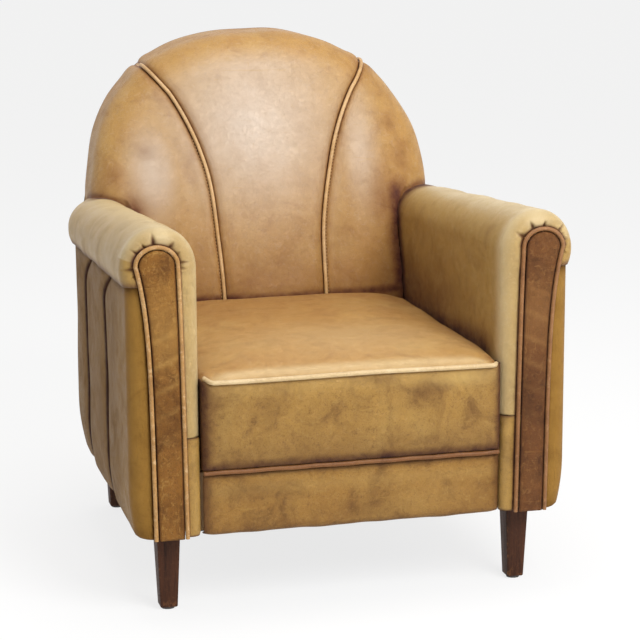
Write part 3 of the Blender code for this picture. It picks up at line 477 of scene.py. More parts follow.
def build_worn_leather():
    """Pull-up leather: cloudy colour, pebbled grain, scratches, dirt and painted shade in creases, and
    worn pads with painted highlights.
    """
    tree, given, made = group_tree(
        "worn_leather", ("Shade_and_grime", "Rub_and_highlight", "Mottle", "Scuffs"), ("Body", "Pale", "Rubbed_and_highlight", "Deep"))
    place = given["Place"]
    clouds = noise(tree, place, 6.5, 5.0, 0.6, 0.5)
    patches = noise(tree, place, 19.0, 6.0, 0.62, 0.8)
    specks = noise(tree, place, 75.0, 6.0, 0.7, 0.3)
    dust = noise(tree, place, 420.0, 3.0, 0.6)
    pale = times(tree, spread(tree, clouds, 0.42, 0.72), 0.55)
    colour = blend(tree, pale, given["Body"], given["Pale"])
    stain = times(tree, spread(tree, patches, 0.42, 0.80, 0.0, 0.5), given["Mottle"])
    colour = blend(tree, stain, colour, given["Deep"])
    fine = plus(
        tree, spread(tree, specks, 0.5, 0.78, 0.0, 0.36), spread(tree, dust, 0.5, 0.75, 0.0, 0.30))
    fine = times(tree, fine, given["Mottle"], limit=True)
    colour = blend(tree, fine, colour, given["Deep"])
    # Wear and painted highlight, in the palest colour.
    worn = times(tree, given["Rub_and_highlight"], spread(tree, patches, 0.35, 0.7, 1.0, 0.84))
    colour = blend(tree, worn, colour, given["Rubbed_and_highlight"])
    stretch = node(tree, "Mapping", {
        "Vector": place, "Rotation": (0.5, 0.7, 0.4), "Scale": (9.0, 130.0, 110.0)}).outputs[0]
    lines = spread(tree, noise(tree, stretch, 1.0, 3.0, 0.55, 0.8), 0.66, 0.71)
    cross = node(tree, "Mapping", {
        "Vector": place, "Rotation": (0.2, -0.6, -0.8), "Scale": (150.0, 12.0, 120.0)}).outputs[0]
    lines = maths(tree, "MAXIMUM", lines, spread(
        tree, noise(tree, cross, 1.0, 3.0, 0.55, 0.9), 0.67, 0.72))
    scratch = times(tree, lines, given["Scuffs"])
    colour = blend(tree, scratch, colour, given["Pale"])
    bloom = spread(tree, noise(tree, place, 95.0, 6.0, 0.72, 1.2), 0.50, 0.68, 0.0, 0.75)
    colour = blend(tree, times(tree, bloom, given["Scuffs"]), colour, given["Rubbed_and_highlight"])
    uneven = plus(tree, times(tree, specks, 0.5), times(tree, patches, 0.4))
    # Dirt and painted shade in creases and crevices: towards the dark colour, and darker still by a
    # multiply where it is strongest.
    shade_and_grime_amount = times(tree, given["Shade_and_grime"], spread(tree, uneven, 0.3, 0.6, 0.85, 1.1))
    shade_and_grime_amount = maths(tree, "MINIMUM", shade_and_grime_amount, 0.96)
    colour = blend(tree, shade_and_grime_amount, colour, given["Deep"])
    darker = blend(tree, 1.0, colour, tone(150, 84, 44), "MULTIPLY")
    colour = blend(tree, maths(tree, "POWER", shade_and_grime_amount, 4.0), colour, darker)
    tree.links.new(colour, made["Colour"])
    gloss = spread(tree, patches, 0.35, 0.7, 0.34, 0.46)
    gloss = plus(tree, gloss, times(tree, shade_and_grime_amount, 0.22))
    tree.links.new(plus(tree, gloss, times(tree, scratch, 0.1)), made["Roughness"])
    pebbles = node(tree, "TexVoronoi", {"Vector": place, "Scale": 620.0},
                   feature="DISTANCE_TO_EDGE").outputs["Distance"]
    cracks = node(tree, "TexVoronoi", {
        "Vector": node(tree, "VectorMath", {0: place, 1: node(
            tree, "TexNoise", {"Vector": place, "Scale": 30.0}).outputs["Color"]},
            operation="ADD").outputs[0],
        "Scale": 34.0}, feature="DISTANCE_TO_EDGE").outputs["Distance"]
    creases = spread(tree, cracks, 0.0, 0.06, 0.0, 0.45)
    grain = times(tree, spread(tree, pebbles, 0.0, 0.25), 0.32)
    height = plus(tree, grain, times(tree, dust, 0.22))
    height = plus(tree, height, creases)
    height = plus(tree, height, times(tree, specks, 0.5))
    tree.links.new(maths(tree, "SUBTRACT", height, times(tree, scratch, 0.25)), made["Height"])
    return tree


WORN_LEATHER = build_worn_leather()


def leather(name, body, pale, rubbed_and_highlight, deep, mottle=1.0, scuffs=0.3, relief=0.0009, shine=0.5):
    made, tree, place = new_material(name)
    # Attributes of dirt with painted shade, and of wear with painted highlight.
    shade_and_grime = node(tree, "Attribute", attribute_name="shade_and_grime").outputs["Fac"]
    rub_and_highlight = node(tree, "Attribute", attribute_name="rub_and_highlight").outputs["Fac"]
    look = node(tree, "Group", {
        "Place": place, "Shade_and_grime": shade_and_grime, "Rub_and_highlight": rub_and_highlight, "Mottle": mottle, "Scuffs": scuffs,
        "Body": tone(*body), "Pale": tone(*pale), "Rubbed_and_highlight": tone(*rubbed_and_highlight), "Deep": tone(*deep)},
        node_tree=WORN_LEATHER).outputs
    finish_material(tree, {
        "Base Color": look["Colour"], "Roughness": look["Roughness"],
        "Specular IOR Level": shine, "Coat Weight": 0.12 * shine, "Coat Roughness": 0.3},
        look["Height"], relief)
    return made


def seat_height(x, depth):
    across = 1 - np.abs(np.clip(x / SEAT_HALF, -1, 1)) ** 4
    rise = 1 - (1 - np.clip((depth - SEAT_FRONT) / SEAT_RISE, 0, 1)) ** 2
    return SEAT_EDGE_Z + SEAT_CROWN * across * rise


def seat_shape(u, v):
    side = np.sign(u - 0.5)
    out = np.abs(u - 0.5) * 2
    top = ramp(out, 0, TOP_END)
    turn = ramp(out, TOP_END, FLAP_START) * np.pi / 2
    drop = ramp(out, FLAP_START, 1)
    x_top = side * (SEAT_HALF - SEAT_ROUND) * top
    rear = BACK_FACE - 0.0025 + BACK_CURVE * x_top ** 2
    tuck = 0.0015 * np.cos(np.pi * ramp(v, 0, 0.03) / 2)
    depth = SEAT_FRONT + (rear - SEAT_FRONT) * v ** 0.96
    x = x_top + side * SEAT_ROUND * np.sin(turn)
    z = seat_height(x_top, depth) - SEAT_ROUND * (1 - np.cos(turn)) - (SEAT_FLAP - SEAT_ROUND) * drop
    fall = 0.012 * np.clip((depth - rear + 0.022) / 0.022, 0, 1) ** 2
    lip = 0.006 * np.clip(1 - v / 0.035, 0, 1) ** 2
    z = z - fall - lip
    front = depth - SEAT_FRONT
    pull = 0.004 * spot(np.abs(x), front, SEAT_HALF - 0.020, 0.020, 0.013, 0.016)
    swell = 0.0013 * slack(x, depth, 3.0) * smooth(front, 0.01, 0.08) - pull
    # Painted shade along the rear crevice, beside the arms, down the flaps by them, at the front corners
    # and under the front piping; darker towards the rear, and one dark patch.
    side_shade = near(SEAT_HALF - np.abs(x) + 0.004, 0.017) * smooth(front, 0.0, 0.12)
    shade_and_grime = strongest(
        0.85 * near(rear - depth, 0.020), 0.6 * side_shade, drop,
        0.55 * near(np.abs(x) - 0.235, 0.006) * near(front, 0.05),
        0.34 * smooth(depth, 0.25, 0.52), 0.5 * near(front, 0.0028),
        0.3 * spot(x, depth, -0.13, 0.40, 0.10, 0.08))
    # A pale band along the front edge and a pale patch in the middle: wear and painted highlight.
    rub_and_highlight = 0.62 * near(front - 0.012, 0.014) * smooth(0.236 - np.abs(x), 0, 0.02)
    rub_and_highlight = np.maximum(rub_and_highlight, 0.32 * spot(x, depth, 0.02, 0.15, 0.17, 0.10))
    set_back = 0.016 * smooth(out, 0.79, 0.88) * (1 - v) ** 2
    return x, depth + tuck + set_back, z, swell, shade_and_grime, rub_and_highlight


def border_shape(u, v):
    low, high = SEAT_BOTTOM_Z + 0.0004, SEAT_EDGE_Z - 0.0045
    z = low + (high - low) * v
    out = np.abs(2 * u - 1)
    turn = ramp(out, 0.92, 0.96) * np.pi / 2
    across = (BORDER_HALF - BORDER_ROUND) * ramp(out, 0, 0.92) + BORDER_ROUND * np.sin(turn)
    x = np.sign(u - 0.5) * across
    turned = BORDER_ROUND * (1 - np.cos(turn)) + 0.020 * ramp(out, 0.96, 1.0)
    edge = np.minimum(np.minimum(v, 1 - v) * (high - low), BORDER_HALF - across)
    bulge = 1 - np.clip(1 - edge / 0.030, 0, 1) ** 2
    belly = 0.0066 * bulge * (out < 0.92)
    hang = 0.0016 * np.sin(np.pi * v) * slack(3 * x, z, 1.0) * bulge
    pucker = near((x + 0.5 * z + 0.02 * np.sin(60 * z)) % 0.037 - 0.018, 0.003)
    hang = hang - 0.0008 * pucker * (x < -0.02) * bulge * smooth(z, 0.30, 0.36)
    crease = near((x - 0.175) * 0.86 + (z - 0.352) * 0.5, 0.0035) * spot(x, z, 0.185, 0.352, 0.035, 0.03)
    swell = belly + hang - 0.0016 * crease
    # Painted shade along the top and bottom edges and at the ends, darker towards the bottom, with dark
    # spots; a pale patch and a pale band under the top edge are wear and painted highlight.
    shade_and_grime = strongest(
        0.9 * near(v * (high - low), 0.018), 0.6 * near((1 - v) * (high - low), 0.006),
        0.35 * near(v * (high - low), 0.050),
        0.9 * near(BORDER_HALF + x, 0.018), 0.9 * near(BORDER_HALF - x, 0.014),
        0.35 * near(BORDER_HALF + x, 0.06), 0.3 * near(BORDER_HALF - x, 0.04),
        0.5 * spot(x, z, 0.110, 0.345, 0.032, 0.020), 0.4 * spot(x, z, 0.040, 0.369, 0.03, 0.007),
        0.42 * smooth(0.32 - z, 0, 0.07), 0.30 * spot(x, z, -0.14, 0.33, 0.03, 0.04))
    rub_and_highlight = 0.55 * spot(x, z, 0.18, 0.362, 0.06, 0.012) + 0.35 * near((1 - v) * (high - low) - 0.012, 0.014)
    return x, SEAT_FRONT + 0.0016 + turned, z, swell, shade_and_grime, rub_and_highlight


def piping(name, points, radius, finish, replaced):
    """A cord in a strip of leather, sewn in along the points, with closed ends."""
    curve = bpy.data.curves.new(name, "CURVE")
    curve.dimensions = "3D"
    curve.bevel_depth = radius
    curve.bevel_resolution = 4
    curve.use_fill_caps = True
    line = curve.splines.new("POLY")
    line.points.add(len(points) - 1)
    for knot, point in zip(line.points, points):
        knot.co = (*point, 1.0)
    bpy.ops.object.select_all(action="DESELECT")
    piece = bpy.data.objects.new(name, curve)
    bpy.context.collection.objects.link(piece)
    bpy.context.view_layer.objects.active = piece
    piece.select_set(True)
    bpy.ops.object.convert(target="MESH")
    piece = bpy.context.object
    bpy.ops.object.mode_set(mode="EDIT")
    bpy.ops.mesh.select_all(action="SELECT")
    bpy.ops.mesh.remove_doubles(threshold=0.00005)
    bpy.ops.mesh.normals_make_consistent(inside=False)
    bpy.ops.object.mode_set(mode="OBJECT")
    bpy.ops.object.shade_smooth_by_angle(angle=math.radians(50))
    finish_piece(piece, finish, replaced)
    return piece


SEAT_LEATHER = leather(
    "seat_leather", (190, 140, 70), (208, 168, 98), (230, 202, 150),
    (116, 62, 14), 0.75, 0.22)
BORDER_LEATHER = leather(
    "border_leather", (172, 130, 60), (190, 152, 80), (200, 164, 96),
    (92, 52, 14), 1.5, 0.3, shine=0.35)
APRON_LEATHER = leather(
    "apron_leather", (158, 114, 50), (176, 136, 68), (188, 150, 82),
    (88, 50, 14), 1.5, 0.4, shine=0.3)
PALE_PIPING = leather(
    "pale_piping", (210, 182, 134), (232, 210, 168), (242, 224, 190),
    (136, 90, 44), 0.7, 0.3, 0.0004)
BROWN_PIPING = leather(
    "brown_piping", (124, 78, 38), (150, 104, 58), (166, 118, 72),
    (64, 32, 12), 0.8, 0.3, 0.0004, shine=0.35)

seat = surface("seat_top", 160, 130, seat_shape)
finish_piece(seat, SEAT_LEATHER, ["seat_top_leather", "seat_stuffing"])
border = surface("seat_border", 170, 60, border_shape)
finish_piece(border, BORDER_LEATHER, ["seat_front_border"])


def seat_piping_route():
    """Straight along the front edge, then up and back into the gap beside each arm."""
    points = []
    for k in range(-60, 61):
        share = k / 60
        x = share * (SEAT_HALF - 0.0046)
        curl = max(0.0, (abs(share) - 0.955) / 0.045)
        depth = 0.0036 + 0.016 * curl ** 1.6 + 0.0003 * math.sin(40 * x)
        climb = 0.0042 if share < 0 else -0.0014
        z = 0.3815 + climb * curl ** 1.3 + 0.0008 * math.sin(17 * x + 1)
        points.append((x, FRONT + depth, z))
    return points


def lower_piping_route():
    low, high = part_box("lower_piping")
    middle = (low + high) / 2
    reach = high.x - 0.0005
    return [
        (reach * k / 40, middle.y, middle.z + 0.0004 * math.sin(0.5 * k)) for k in range(-40, 41)]


piping("seat_edge_piping", seat_piping_route(), 0.0038, PALE_PIPING, ["seat_piping"])
piping(
    "seat_foot_piping", lower_piping_route(), PIPING_RADIUS, BROWN_PIPING,
    ["lower_piping"])

# Apron: leather over wadding on the front rail, pulled under it and tacked. Its top edge is
# sewn under the lower piping.


def apron_shape(u, v):
    low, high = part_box("front_apron")
    half = high.x - 0.0005
    x = (2 * u - 1) * half
    round_share = 0.16
    turn = np.clip(v / round_share, 0, 1) * np.pi / 2
    radius = 0.009
    climb = np.clip((v - round_share) / (1 - round_share), 0, 1)
    front = low.y - FRONT
    depth = front + radius * (1 - np.sin(turn)) + 0.004 * np.clip(1 - v / 0.05, 0, 1)
    z = low.z + radius * (1 - np.cos(turn)) + (high.z - low.z - radius) * climb
    edge = np.minimum(np.minimum(u, 1 - u) * 2 * half, (1 - v) * 0.09)
    swell = 0.0035 * (1 - np.clip(1 - edge / 0.02, 0, 1) ** 2) - 0.0012
    swell = swell + 0.0012 * slack(2 * x, z, 5.0)
    # Painted shade under the top edge, at the ends and the foot, with dark spots; a pale band and patch
    # of wear and painted highlight.
    shade_and_grime = strongest(
        0.75 * near((1 - v) * 0.09, 0.006), 0.8 * near(half + x, 0.016),
        0.7 * near(half - x, 0.013), 0.5 * near(z - low.z, 0.012),
        0.35 * spot(x, z, -0.15, 0.2, 0.05, 0.02), 0.3 * spot(x, z, 0.03, 0.15, 0.08, 0.02))
    rub_and_highlight = 0.3 * near(z - 0.205, 0.012) + 0.25 * spot(x, z, 0.14, 0.17, 0.06, 0.025)
    return x, depth, z, swell, shade_and_grime, rub_and_highlight


apron = surface("apron_pad", 170, 50, apron_shape, thickness=0.0024)
finish_piece(apron, APRON_LEATHER, ["front_apron"])

# Arms: one leather goes up the inner wall, over a stuffed roll and down to a hem outside. At the
# front it is drawn round the edge in pleats under the facing, at the rear round the roll's end.
ARM_INNER = 0.2465
ARM_CROWN = 0.628
ARM_FALL = 0.070
ARM_JOIN_Z = 0.294
ARM_FACE = 0.0113
ARM_ROUND = 0.0220
ARM_LIP = 0.0160
ARM_REAR_ROUND = 0.0190
FRAME_DEPTH = 0.1125
BACK_DEPTH = 0.1500
SETTLING_ROUNDS = 8
FACING_FOOT_Z = 0.133
FACING_FOOT_X = 0.296
FACING_FOOT_HALF = 0.0205
HEAD_Z = 0.568
HEAD_X = 0.312
HEAD_HALF = 0.0285
HEAD_RISE = 0.025
ROLL_OUTER = 0.367
HEM_DROP = 0.024
REAR_BEND = 0.055
REAR_BEND_END = 0.710
WALL_END = 0.42     # shares of the arm's leather at the top of the wall and at the start of the hem
ROLL_END = 0.94
PIPING_REACH = 0.0078
# Directions of the pleats round each facing's head, in degrees from the top towards the right
PLEATS = {
    "left": (-114, -96, -56, -32, -6, 38, 62, 85, 98),
    "right": (-62, -28, 4, 48, 76, 106),
}


def facing_middle(share):
    return FACING_FOOT_X + 0.006 * share + 0.010 * share ** 6


def facing_half(share):
    return FACING_FOOT_HALF + (HEAD_HALF - FACING_FOOT_HALF) * share ** 6


def facing_gap(x, z):
    """How far a point of the front lies outside the facing's outline."""
    share = ramp(z, FACING_FOOT_Z, HEAD_Z)
    beside = np.abs(x - facing_middle(share)) - facing_half(share)
    above = (np.hypot((x - HEAD_X) / HEAD_HALF, (z - HEAD_Z) / HEAD_RISE) - 1) * 0.0265
    return np.where(z > HEAD_Z, above, beside)


def piping_shadow_line(x, depth, z):
    """The painted shadow line beside the piping round the facing, where it is sewn on."""
    outside = np.clip(facing_gap(x, z) - PIPING_REACH, 0, 1)
    width = 0.0019 + 0.0011 * smooth(z, 0.54, 0.57)
    return near(outside, width) * (depth < ARM_FACE + 0.010)


def back_base(z):
    """Depth of the back's front face on its middle line."""
    rise = z - 0.410
    return BACK_FACE + 0.330 * (rise + np.sqrt(rise ** 2 + 0.02 ** 2) - 0.005) / 2


def bent_in(depth, start):
    """How far the arm's outside curves inward on its way to the rear."""
    return REAR_BEND * (1 - np.sqrt(1 - ramp(depth, start, REAR_BEND_END) ** 2))


def roll_outer(depth):
    return ROLL_OUTER - bent_in(depth, BACK_FACE)


def roll_heights(depth):
    """Heights of the roll's crown and of its widest point."""
    crown = ARM_CROWN - ARM_FALL * depth
    return crown, crown - (0.068 - 0.034 * depth)


def front_edge(part, lip_end, round_end, lip):
    """How far the leather is drawn in, and how deep it lies, where it turns over the front edge."""
    turn = ramp(part, lip_end, round_end) * np.pi / 2
    inset = ARM_ROUND * (1 - np.sin(turn)) + lip * (1 - ramp(part, 0.0, lip_end))
    return inset, ARM_FACE + ARM_ROUND * (1 - np.cos(turn))


def arm_section(s, depth, inset):
    """Section of the arm: s goes 0 to 1 up the wall, to 2 over the roll, to 3 down the hem."""
    crown, widest = roll_heights(depth)
    inner = ARM_INNER + inset
    outer = roll_outer(depth) - inset
    wall, roll, hem = (np.clip(s - k, 0, 1) for k in range(3))
    turn = np.pi * roll
    x = (inner + outer) / 2 - (outer - inner) / 2 * np.cos(turn) - 0.005 * hem ** 2
    z = ARM_JOIN_Z + (widest - ARM_JOIN_Z) * wall + (crown - inset - widest) * np.sin(turn)
    return x, z - HEM_DROP * hem


def arm_top(x, depth):
    """Height of the arm's leather over a point of the plan."""
    crown, widest = roll_heights(depth)
    outer = roll_outer(depth)
    across = np.clip((2 * x - ARM_INNER - outer) / (outer - ARM_INNER), -1, 1)
    return widest + (crown - widest) * np.sqrt(1 - across ** 2)


def arm_shape(name, side):
    def shape(u, v):
        s = np.interp(u, (0.0, WALL_END, ROLL_END, 1.0), (0.0, 1.0, 2.0, 3.0))
        inset, start = front_edge(v, 0.05, 0.20, ARM_LIP)
        share = ramp(v, 0.20, 0.88)
        rear_turn = ramp(v, 0.88, 0.97) * np.pi / 2
        rear_lip = ramp(v, 0.97, 1.0)
        outside = smooth(s, 1.50, 1.72)
        rear_inset = outside * (ARM_REAR_ROUND * (1 - np.cos(rear_turn)) + 0.012 * rear_lip)
        past_end = outside * ARM_REAR_ROUND * np.sin(rear_turn)
        depth = start
        for _ in range(SETTLING_ROUNDS):
            x, z = arm_section(s, depth, inset + rear_inset)
            end = back_base(z) + FRAME_DEPTH + outside * (
                BACK_DEPTH + 0.0004 - FRAME_DEPTH - ARM_REAR_ROUND)
            depth = start + (end - start) * share + past_end
        across, up = x - HEAD_X, z - HEAD_Z
        direction = np.degrees(np.arctan2(side * across, up))
        reach = np.hypot(across, up) - 0.030
        front = 1 - smooth(depth, ARM_FACE + 0.004, ARM_FACE + 0.030)
        pleats = np.zeros_like(x)
        for number, at in enumerate(PLEATS[name]):
            apart = np.radians((direction - at + 180) % 360 - 180) * (0.030 + np.maximum(reach, 0))
            length = 0.019 + 0.006 * math.sin(number * 2.1 + side)
            wedge = np.clip(1.25 - reach / length, 0.35, 1.0)
            width = (0.0034 + 0.0010 * math.cos(number * 1.3)) * wedge
            fade = 1 - smooth(reach, 0.35 * length, length)
            pleats = np.maximum(pleats, near(apart, width) * fade)
        pleats = pleats * front * smooth(z, 0.50, 0.54)
        puff = 0.0022 * front * smooth(z, 0.49, 0.55) * near(reach - 0.012, 0.012)
        wave = slack(depth * 1.3, z + s * 0.08, 7.0 + side)
        calm = smooth(depth, 0.05, 0.12)
        swell = 0.0016 * wave * calm + puff - 0.0040 * pleats
        rest_z = seat_height(np.full_like(z, SEAT_HALF), depth)
        to_seat = np.clip(z - rest_z, 0, 1)
        to_back = np.clip(back_base(z) + BACK_CURVE * 0.06 - depth, -0.05, 1)
        inner_face = 1 - smooth(s, 1.15, 1.55)
        # Painted shade on the inner wall where it meets the seat, wider further back, in the crevice by
        # the back, in the pleats, along the piping's shadow line and low on the outside; darker towards
        # the rear.
        seat_crevice_shade = 0.9 * near(to_seat, 0.034) * inner_face * smooth(depth, 0.03, 0.10)
        deep = 0.82 * smooth(depth, 0.06, 0.42) * near(to_seat, 0.095) * inner_face
        shade_and_grime = strongest(
            seat_crevice_shade, deep, 0.95 * near(np.clip(to_back, 0, 1), 0.030) * (1 - outside),
            0.95 * pleats, 0.95 * piping_shadow_line(x, depth, z),
            0.75 * near(3 - s, 0.35) * smooth(s, 2.0, 2.6), 0.45 * smooth(depth, 0.60, 0.70))
        # Pale along the roll's top and at the front edge: wear and painted highlight.
        rub_and_highlight = strongest(
            0.75 * near(s - 1.5, 0.20) * near(depth - 0.045, 0.05),
            0.62 * near(s - 1.48, 0.20), 0.6 * near(depth - 0.030, 0.018) * (s < 1.9))
        return x, depth, z, swell, shade_and_grime, rub_and_highlight
    return shape


# The arm leather's palest colour also paints the highlight on the roll's top.
ARM_LEATHER = leather(
    "arm_leather", (182, 144, 72), (200, 168, 102), (232, 212, 168),
    (100, 52, 4), 0.65, 0.24, shine=0.42)
SIDES = (("left", -1), ("right", 1))
for name, side in SIDES:
    arm = surface(name + "_arm_roll", 230, 150, arm_shape(name, side), side)
    finish_piece(
        arm, ARM_LEATHER,
        [name + "_inside_arm_leather", name + "_arm_stuffing"])

# Outside arm panels: leather over wadding in three upright channels. The seams between them turn
# forward under the roll, and the foot is pulled in under the rail and tacked.
PANEL_X = 0.359
PANEL_BEND_START = 0.480
PANEL_LIP = 0.020
PANEL_INNER = 0.3212
CHANNEL_SEAMS = (0.245, 0.450)
SEAM_SWEEP = 0.085
SEAM_SWEEP_HEIGHT = 0.060


def panel_shape(u, v):
    inset, start = front_edge(u, 0.03, 0.12, PANEL_LIP)
    share = ramp(u, 0.12, 1.0)
    under = 1 - ramp(v, 0, 0.07)
    climb = ramp(v, 0.07, 0.97)
    tucked = ramp(v, 0.97, 1.0)
    depth = start
    for _ in range(SETTLING_ROUNDS):
        low = 0.134 + 0.022 * depth
        high = roll_heights(depth)[1] - HEM_DROP
        z = low + (high - low) * climb ** 1.05 + 0.009 * tucked
        end = back_base(z) + BACK_DEPTH + 0.0006
        depth = start + (end - start) * share
    outer = PANEL_X - bent_in(depth, PANEL_BEND_START) - inset
    foot = np.clip(1 - (z - low) / 0.080, 0, 1)
    outer = outer - 0.010 * foot ** 2 - 0.005 * np.clip(1 - (z - low) / 0.006, 0, 1) ** 2
    inner = np.minimum(PANEL_INNER, outer - 0.004)
    x = outer + (inner - outer) * under - 0.004 * tucked
    swell = np.zeros_like(x)
    seam_shade_and_grime = np.zeros_like(x)
    # Beside each seam a dark line: dirt and painted shade in the seam.
    for at in CHANNEL_SEAMS:
        sweep = np.clip((z - high + SEAM_SWEEP_HEIGHT) / SEAM_SWEEP_HEIGHT, 0, 1)
        apart = depth - (at - SEAM_SWEEP * sweep ** 2.2)
        swell = swell - 0.0036 * near(apart, 0.0034) - 0.0044 * near(apart, 0.024)
        dark = near(apart - 0.004, 0.0105) + 0.3 * near(apart, 0.024)
        seam_shade_and_grime = np.maximum(seam_shade_and_grime, dark)
    swell = (swell + 0.0016 * slack(depth, z * 0.7, 11.0) * smooth(depth, 0.05, 0.1)) * (1 - under)
    # Painted shade under the roll's hem, at the foot and along the piping's shadow line, darker towards
    # the rear and the front; pale near the front edge and in the middle from wear and painted highlight.
    shade_and_grime = strongest(
        seam_shade_and_grime, 0.65 * near(high - z, 0.012), 0.4 * near(z - low, 0.02),
        0.95 * piping_shadow_line(x, depth, z), 0.5 * smooth(depth, 0.58, 0.68),
        0.30 * smooth(depth, 0.05, 0.17))
    rub_and_highlight = 0.35 * near(depth - 0.026, 0.012) + 0.2 * near(depth - 0.34, 0.05)
    return x, depth, z, swell, shade_and_grime, rub_and_highlight


# Darker than the arm leather, to paint the shade that falls on the chair's sides.
SHADED_PANEL_LEATHER = leather(
    "panel_leather_painted_shade", (154, 114, 52), (164, 126, 64), (166, 122, 66),
    (74, 42, 10), 0.6, 0.2, shine=0.05)
for name, side in SIDES:
    panel = surface(name + "_outside_panel", 240, 110, panel_shape, side)
    finish_piece(
        panel, SHADED_PANEL_LEATHER, [name + "_outside_arm_panel"])

# Lower arm strips: short pieces of leather that finish the inner front edge of each arm below the
# inside arm leather's hem, folded round the stump and tacked behind the facing.


def strip_shape(u, v):
    low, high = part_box("right_lower_arm_strip")
    turn = ramp(u, 0.25, 0.7) * np.pi / 2
    radius = 0.015
    wall = 1 - ramp(u, 0, 0.25)
    face = ramp(u, 0.70, 1.0)
    front, rear = low.y - FRONT, high.y - FRONT
    x = low.x + radius * (1 - np.cos(turn)) + (high.x - low.x - radius) * face
    depth = front + radius * (1 - np.sin(turn)) + (rear - front - radius) * wall
    z = low.z + (high.z - low.z) * v
    end = np.minimum(v, 1 - v) * (high.z - low.z)
    swell = -0.0012 * near(end, 0.003) + 0.0004 * slack(x, z * 3, 2.0)
    # Painted shade at both ends, along the piping's shadow line and over the wall by the seat; pale over
    # the rounded edge from wear and painted highlight.
    shade_and_grime = strongest(
        0.85 * near(end, 0.003), 0.95 * piping_shadow_line(x, depth, z), 0.8 * wall)
    return x, depth, z, swell, shade_and_grime, 0.3 * near(u - 0.6, 0.2)


for name, side in SIDES:
    strip = surface(name + "_arm_foot_strip", 34, 70, strip_shape, side, 0.0016)
    finish_piece(strip, BORDER_LEATHER, [name + "_lower_arm_strip"])

# Facings: tall boards with round heads, covered in brushed leather over thin wadding and nailed on
# over the raw edges. A piping runs round each, pale on the left one and browned on the right.


def facing_shape(u, v):
    share = ramp(v, 0, 0.80)
    turn = ramp(v, 0.80, 1.0) * np.pi / 2
    half = facing_half(share) * np.cos(turn)
    across = 2 * u - 1
    x = facing_middle(share) + across * half
    z = FACING_FOOT_Z + (HEAD_Z - FACING_FOOT_Z) * share + HEAD_RISE * np.sin(turn)
    edge = np.minimum((1 - np.abs(across)) * half, z - FACING_FOOT_Z + 0.004)
    depth = 0.0058 - 0.0036 * (1 - np.exp(-edge / 0.0045))
    # A painted shadow line round the edge and a darker band low down; the pale patch and streaks are
    # scuffs.
    shade_and_grime = np.maximum(0.95 * near(edge, 0.0024), 0.35 * near(z - 0.33, 0.06))
    streak = near((z + 0.45 * x) % 0.041 - 0.02, 0.0045) * spot(x, z, 0.298, 0.40, 0.05, 0.09)
    rub_and_highlight = 0.7 * spot(x, z, 0.300, 0.46, 0.05, 0.05) + 0.9 * streak
    return x, depth, z, 0.0004 * slack(x * 2, z * 2, 4.0), shade_and_grime, 0.6 * rub_and_highlight


def facing_route(side):
    """Round the facing's edge, from its inner foot over the head to its outer foot."""
    grow = PIPING_RADIUS + 0.0003
    shares = [k / 40 for k in range(41)]

    def at(share, way):
        x = facing_middle(share) + way * (facing_half(share) + grow)
        return x, FACING_FOOT_Z + (HEAD_Z - FACING_FOOT_Z) * share
    outline = [at(share, -1) for share in shares]
    for k in range(1, 30):
        turn = math.pi * k / 30
        x = HEAD_X - (HEAD_HALF + grow) * math.cos(turn)
        outline.append((x, HEAD_Z + (HEAD_RISE + grow) * math.sin(turn)))
    outline += [at(share, 1) for share in reversed(shares)]
    return [(side * x, FRONT + 0.0067, z) for x, z in outline]


LEFT_FACING = leather(
    "left_facing_leather", (150, 100, 40), (178, 130, 62), (194, 148, 78),
    (84, 46, 12), 1.8, 0.7, 0.0014, shine=0.2)
RIGHT_FACING = leather(
    "right_facing_leather", (118, 72, 34), (138, 92, 46), (158, 112, 62),
    (62, 32, 12), 1.6, 0.7, 0.0014, shine=0.2)
FACING_PIPING = leather(
    "cream_piping", (180, 134, 76), (218, 182, 126), (236, 210, 170),
    (104, 60, 24), 1.0, 0.5, 0.0004, shine=0.35)
RIGHT_PIPING = leather(
    "tanned_piping", (138, 92, 50), (168, 122, 76), (186, 142, 98),
    (72, 38, 16), 1.0, 0.5, 0.0004, shine=0.35)
for name, side, cover, cord in (
        ("left", -1, LEFT_FACING, FACING_PIPING), ("right", 1, RIGHT_FACING, RIGHT_PIPING)):
    facing = surface(name + "_facing_board", 30, 150, facing_shape, side, 0.0045)
    finish_piece(facing, cover, [name + "_facing"])
    piping(
        name + "_facing_edge_piping", facing_route(side), 0.0034, cord,
        [name + "_facing_piping"])

# Back: three leathers fan out over a stuffed arch and go round its rim to the rear. A piping is
# sewn into each of the two seams, with the thread showing beside it.
BACK_LOW_Z = 0.340
BACK_FOOT_Z = 0.300
ARCH_HALF = 0.318
ARCH_SPRING_Z = 0.555
ARCH_HEIGHT = 0.317
ARCH_POWER = 2.3
WING_Z = 0.590
BACK_ROUND = 0.055
SEAM_FOOT = 0.094
SEAM_SHARE = 0.441
SKIRT = 0.030
SKIRT_SHARE = 0.10
BACK_LEAN = 0.0065
BACK_SINK = 0.0050
WING_TURN = math.acos(((WING_Z - ARCH_SPRING_Z) / ARCH_HEIGHT) ** (ARCH_POWER / 2))


def arch(turn, inset):
    """Point of the right half of the arch, from its crown at 0 to its spring at a right angle."""
    power = 2 / ARCH_POWER
    x = (ARCH_HALF - inset) * np.sin(turn) ** power
    return x, ARCH_SPRING_Z + (ARCH_HEIGHT - inset) * np.clip(np.cos(turn), 0, None) ** power


def settled(x, z):
    """The lean to the right and the lower crown that fit the back to the photograph's outline."""
    return x + BACK_LEAN * smooth(z, 0.50, 0.64), z - BACK_SINK * smooth(z, 0.60, 0.87)


